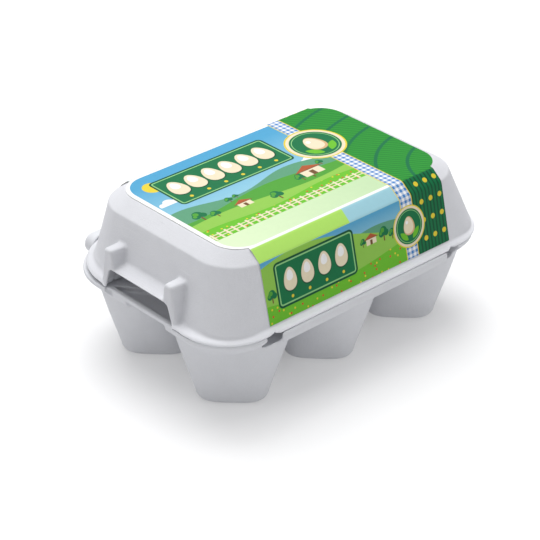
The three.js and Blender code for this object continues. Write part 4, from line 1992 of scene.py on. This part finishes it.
@dataclass
class Label:
    """The printed paper label, bent over the front wall, the roof and the back wall.

    Args:
        path: the lid's outline under the label, as Y and Z from the front foot to the back foot.
        half_x: half the label's length on the walls.
        ear_half_x: half its length on the roof.
        ear_radius: the radius of the roof part's corners.
        ear_half_w: half the straight stretch of the roof part's ends.
        fold: how far a fold's rounding reaches to either side.
        stand_off: how far the label's face lies outside the path.
        thickness: the paper's thickness.
        bare_paper: the finish of the paper's edge and back.
        sharp_angle: the angle past which an edge stays sharp, in degrees.
    """

    path: tuple[tuple[float, float], ...] = (
        (-47.83, 39.9), (-41.9, 64.9), (-36.8, 69.0), (36.8, 69.0), (41.9, 64.9), (47.4, 41.9),
    )
    half_x: float = 49.4
    ear_half_x: float = 57.0
    ear_radius: float = 11.6
    ear_half_w: float = 24.8
    fold: float = 1.0
    stand_off: float = 0.3
    thickness: float = 0.25
    bare_paper: PlainFinish = PlainFinish("label_paper_bare", (0.6, 0.61, 0.59), 0.2)
    sharp_angle: float = 40.0

    def marks(self) -> list[float]:
        """Measures the path.

        Returns:
            Each path point's distance up the flat sheet.
        """
        marks = [0.0]
        for (y, z), (next_y, next_z) in zip(self.path, self.path[1:]):
            marks.append(marks[-1] + math.hypot(next_y - y, next_z - z))
        return marks

    def along(self, w: float) -> Vector:
        """Finds a point of the path.

        Args:
            w: its distance up the flat sheet.

        Returns:
            The point, with X = 0.
        """
        marks = self.marks()
        index = min(max(bisect_right(marks, w) - 1, 0), len(marks) - 2)
        share = (w - marks[index]) / (marks[index + 1] - marks[index])
        low, high = (Vector((0.0, *self.path[spot])) for spot in (index, index + 1))
        return low.lerp(high, share)

    def outline(self) -> list[tuple[float, float]]:
        """Draws the flat sheet's outline.

        Returns:
            Its corners as X and distance up the sheet.
        """
        marks = self.marks()
        middle = (marks[2] + marks[3]) / 2
        centre_x = self.ear_half_x - self.ear_radius
        quarter = [(self.ear_half_x, 0.0)]
        stop = math.acos((self.half_x - centre_x) / self.ear_radius)
        for step in range(9):
            angle = stop * step / 8
            quarter.append((
                centre_x + self.ear_radius * math.cos(angle),
                self.ear_half_w + self.ear_radius * math.sin(angle),
            ))
        up = [(x, middle + rise) for x, rise in quarter] + [(self.half_x, marks[-1])]
        down = [(x, middle - rise) for x, rise in quarter[1:]] + [(self.half_x, 0.0)]
        right = [*reversed(down), *up]
        return right + [(-x, w) for x, w in reversed(right)]

    def build(self, shift_y: float) -> bpy.types.Object:
        """Cuts the sheet flat and bends it over the lid.

        Args:
            shift_y: what brings the carton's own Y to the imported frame's, in millimetres.

        Returns:
            The finished label.
        """
        bm = bmesh.new()
        bm.faces.new([bm.verts.new((x, w, 0.0)) for x, w in self.outline()])
        marks = self.marks()
        levels = {mark + self.fold * step / 4 for mark in marks[1:-1] for step in range(-4, 5)}
        levels |= {lerp(marks[2], marks[3], step / 12) for step in range(1, 12)}
        for level in sorted(levels):
            cut = [*bm.verts, *bm.edges, *bm.faces]
            bmesh.ops.bisect_plane(bm, geom=cut, plane_co=(0.0, level, 0.0), plane_no=(0.0, 1.0, 0.0))
        sheet = bm.loops.layers.uv.new(SHEET_MAP)
        for face in bm.faces:
            for loop in face.loops:
                loop[sheet].uv = loop.vert.co.xy
        for vert in bm.verts:
            x, w, _ = vert.co
            near = [self.along(w + self.fold * step / 4) for step in range(-4, 5)]
            vert.co = sum(near, Vector()) / len(near)
            vert.co.x = x
        bmesh.ops.recalc_face_normals(bm, faces=bm.faces)
        bm.normal_update()
        if max(bm.verts, key=lambda vert: vert.co.z).normal.z < 0:
            bmesh.ops.reverse_faces(bm, faces=bm.faces)
            bm.normal_update()
        for vert in bm.verts:
            vert.co += vert.normal * self.stand_off
        piece = Blank(bm).into_object("label_sheet", bpy.context.scene.collection)
        piece.data.materials.append(LabelPrint(marks[1:-1], marks[-1]).draw())
        piece.data.materials.append(self.bare_paper.make())
        solid = piece.modifiers.new("paper", "SOLIDIFY")
        solid.thickness = self.thickness
        solid.offset = -1.0
        solid.material_offset = 1
        solid.material_offset_rim = 1
        apply_modifiers(piece)
        seat(piece, shift_y)
        piece.data.set_sharp_from_angle(angle=math.radians(self.sharp_angle))
        return piece


@dataclass(frozen=True)
class Lamp:
    """One square soft light.

    Args:
        name: its name.
        place: where it hangs, in metres.
        size: its side, in metres.
        power: its power, in watts.
    """

    name: str
    place: tuple[float, float, float]
    size: float
    power: float

    def hang(self, target: Vector) -> None:
        """Hangs the lamp.

        Args:
            target: the point that it looks at.
        """
        light = bpy.data.lights.new(self.name, "AREA")
        light.size = self.size
        light.energy = self.power
        holder = bpy.data.objects.new(self.name, light)
        bpy.context.scene.collection.objects.link(holder)
        holder.location = self.place
        aim(holder, target)


@dataclass
class Studio:
    """The floor, the soft light and the camera.

    Args:
        floor_half: half the floor's side, in metres.
        azimuth: the camera's direction round the carton, in degrees.
        elevation: its direction above the floor, in degrees.
        focal_px: its focal length, in pixels of a frame that is frame_px wide.
        frame_px: that frame's width.
        distance: its distance from the target, in metres.
        target: what it looks at, in millimetres in the carton's own frame.
        sky: the surround's strength at the horizon.
        sky_rise: how much stronger it is overhead.
        lamps: the lamps.
        lamp_target: what the lamps look at, in metres.
        floor_finish: the floor's finish.
    """

    floor_half: float = 6.0
    azimuth: float = -42.1
    elevation: float = 30.7
    focal_px: float = 1990.0
    frame_px: float = 540.0
    distance: float = 0.8036
    target: Vector = field(default_factory=lambda: Vector((-15.78, -10.78, 35.28)))
    sky: float = 0.2
    sky_rise: float = 0.6
    lamps: tuple[Lamp, ...] = (
        Lamp("overhead", (0.06, 0.22, 1.3), 1.1, 10.1),
        Lamp("behind", (0.28, 0.6, 1.05), 0.9, 7.8),
        Lamp("left", (-1.0, 0.35, 0.45), 0.5, 1.6),
        Lamp("front", (0.45, -1.0, 0.4), 0.7, 2.0),
    )
    lamp_target: tuple[float, float, float] = (0.0, 0.0, 0.03)
    floor_finish: PlainFinish = PlainFinish("studio_floor", (0.6, 0.6, 0.604), 0.004, glow=0.4)

    def floor(self) -> None:
        """Lays the pale floor."""
        bm = bmesh.new()
        bmesh.ops.create_grid(bm, x_segments=1, y_segments=1, size=self.floor_half)
        mesh = bpy.data.meshes.new("studio_floor")
        bm.to_mesh(mesh)
        bm.free()
        floor = bpy.data.objects.new("studio_floor", mesh)
        bpy.context.scene.collection.objects.link(floor)
        mesh.materials.append(self.floor_finish.make())

    def light(self) -> None:
        """Sets the surround, brighter overhead, and the soft lights round the carton."""
        world = bpy.data.worlds.new("studio")
        world.use_nodes = True
        nodes, links = world.node_tree.nodes, world.node_tree.links
        surround = nodes["Background"]
        surround.inputs["Color"].default_value = (1.0, 1.0, 1.0, 1.0)
        source, parts = nodes.new("ShaderNodeTexCoord"), nodes.new("ShaderNodeSeparateXYZ")
        rise = nodes.new("ShaderNodeMath")
        rise.operation = "MULTIPLY_ADD"
        rise.inputs[1].default_value, rise.inputs[2].default_value = self.sky_rise, self.sky
        links.new(source.outputs["Generated"], parts.inputs["Vector"])
        links.new(parts.outputs["Z"], rise.inputs[0])
        links.new(rise.outputs["Value"], surround.inputs["Strength"])
        bpy.context.scene.world = world
        for lamp in self.lamps:
            lamp.hang(Vector(self.lamp_target))

    def camera(self, shift_y: float) -> None:
        """Sets the camera.

        Args:
            shift_y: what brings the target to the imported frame, in millimetres.
        """
        lens = bpy.data.cameras.new("camera")
        lens.sensor_width = 36.0
        lens.lens = self.focal_px / self.frame_px * lens.sensor_width
        holder = bpy.data.objects.new("camera", lens)
        bpy.context.scene.collection.objects.link(holder)
        turn, rise = math.radians(self.azimuth), math.radians(self.elevation)
        back = Vector((
            math.sin(turn) * math.cos(rise), -math.cos(turn) * math.cos(rise), math.sin(rise),
        ))
        target = (self.target + Vector((0.0, shift_y, 0.0))) * MM
        holder.location = target + back * self.distance
        aim(holder, target)
        bpy.context.scene.camera = holder


def aim(holder: bpy.types.Object, target: Vector) -> None:
    """Turns a lamp or a camera towards a point.

    Args:
        holder: the lamp or camera.
        target: the point.
    """
    holder.rotation_euler = (target - holder.location).to_track_quat("-Z", "Y").to_euler()


def enter(piece: bpy.types.Object, node: str) -> None:
    """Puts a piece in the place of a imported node.

    Args:
        piece: the piece.
        node: the node.
    """
    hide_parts(node)
    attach(piece, "root")
    log.info("%s: %d faces", piece.name, len(piece.data.polygons))


def main() -> None:
    """Builds the carton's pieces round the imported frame, then the studio."""
    logging.basicConfig(level=logging.INFO, format="%(message)s")
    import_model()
    shift_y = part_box("tray")[0].y / MM + FRONT_REACH
    mould = PulpMould(shift_y)
    pulps = (
        # The lid's finish lifts the tone of its lowest band as a painted highlight on the rolled lip.
        ("lid", Lid(), PulpFinish("lid_pulp", (0.562, 0.568, 0.597), lip_highlight_gain=0.24)),
        ("tray", Tray(), PulpFinish("tray_pulp", (0.578, 0.586, 0.614))),
    )
    for node, maker, finish in pulps:
        piece = maker.build(mould)
        piece.data.materials.clear()
        piece.data.materials.append(finish.make())
        enter(piece, node)
    enter(Label().build(shift_y), "label")
    studio = Studio()
    studio.floor()
    studio.light()
    studio.camera(shift_y)
    bpy.context.scene.view_settings.view_transform = "Standard"


if __name__ == "__main__":
    main()
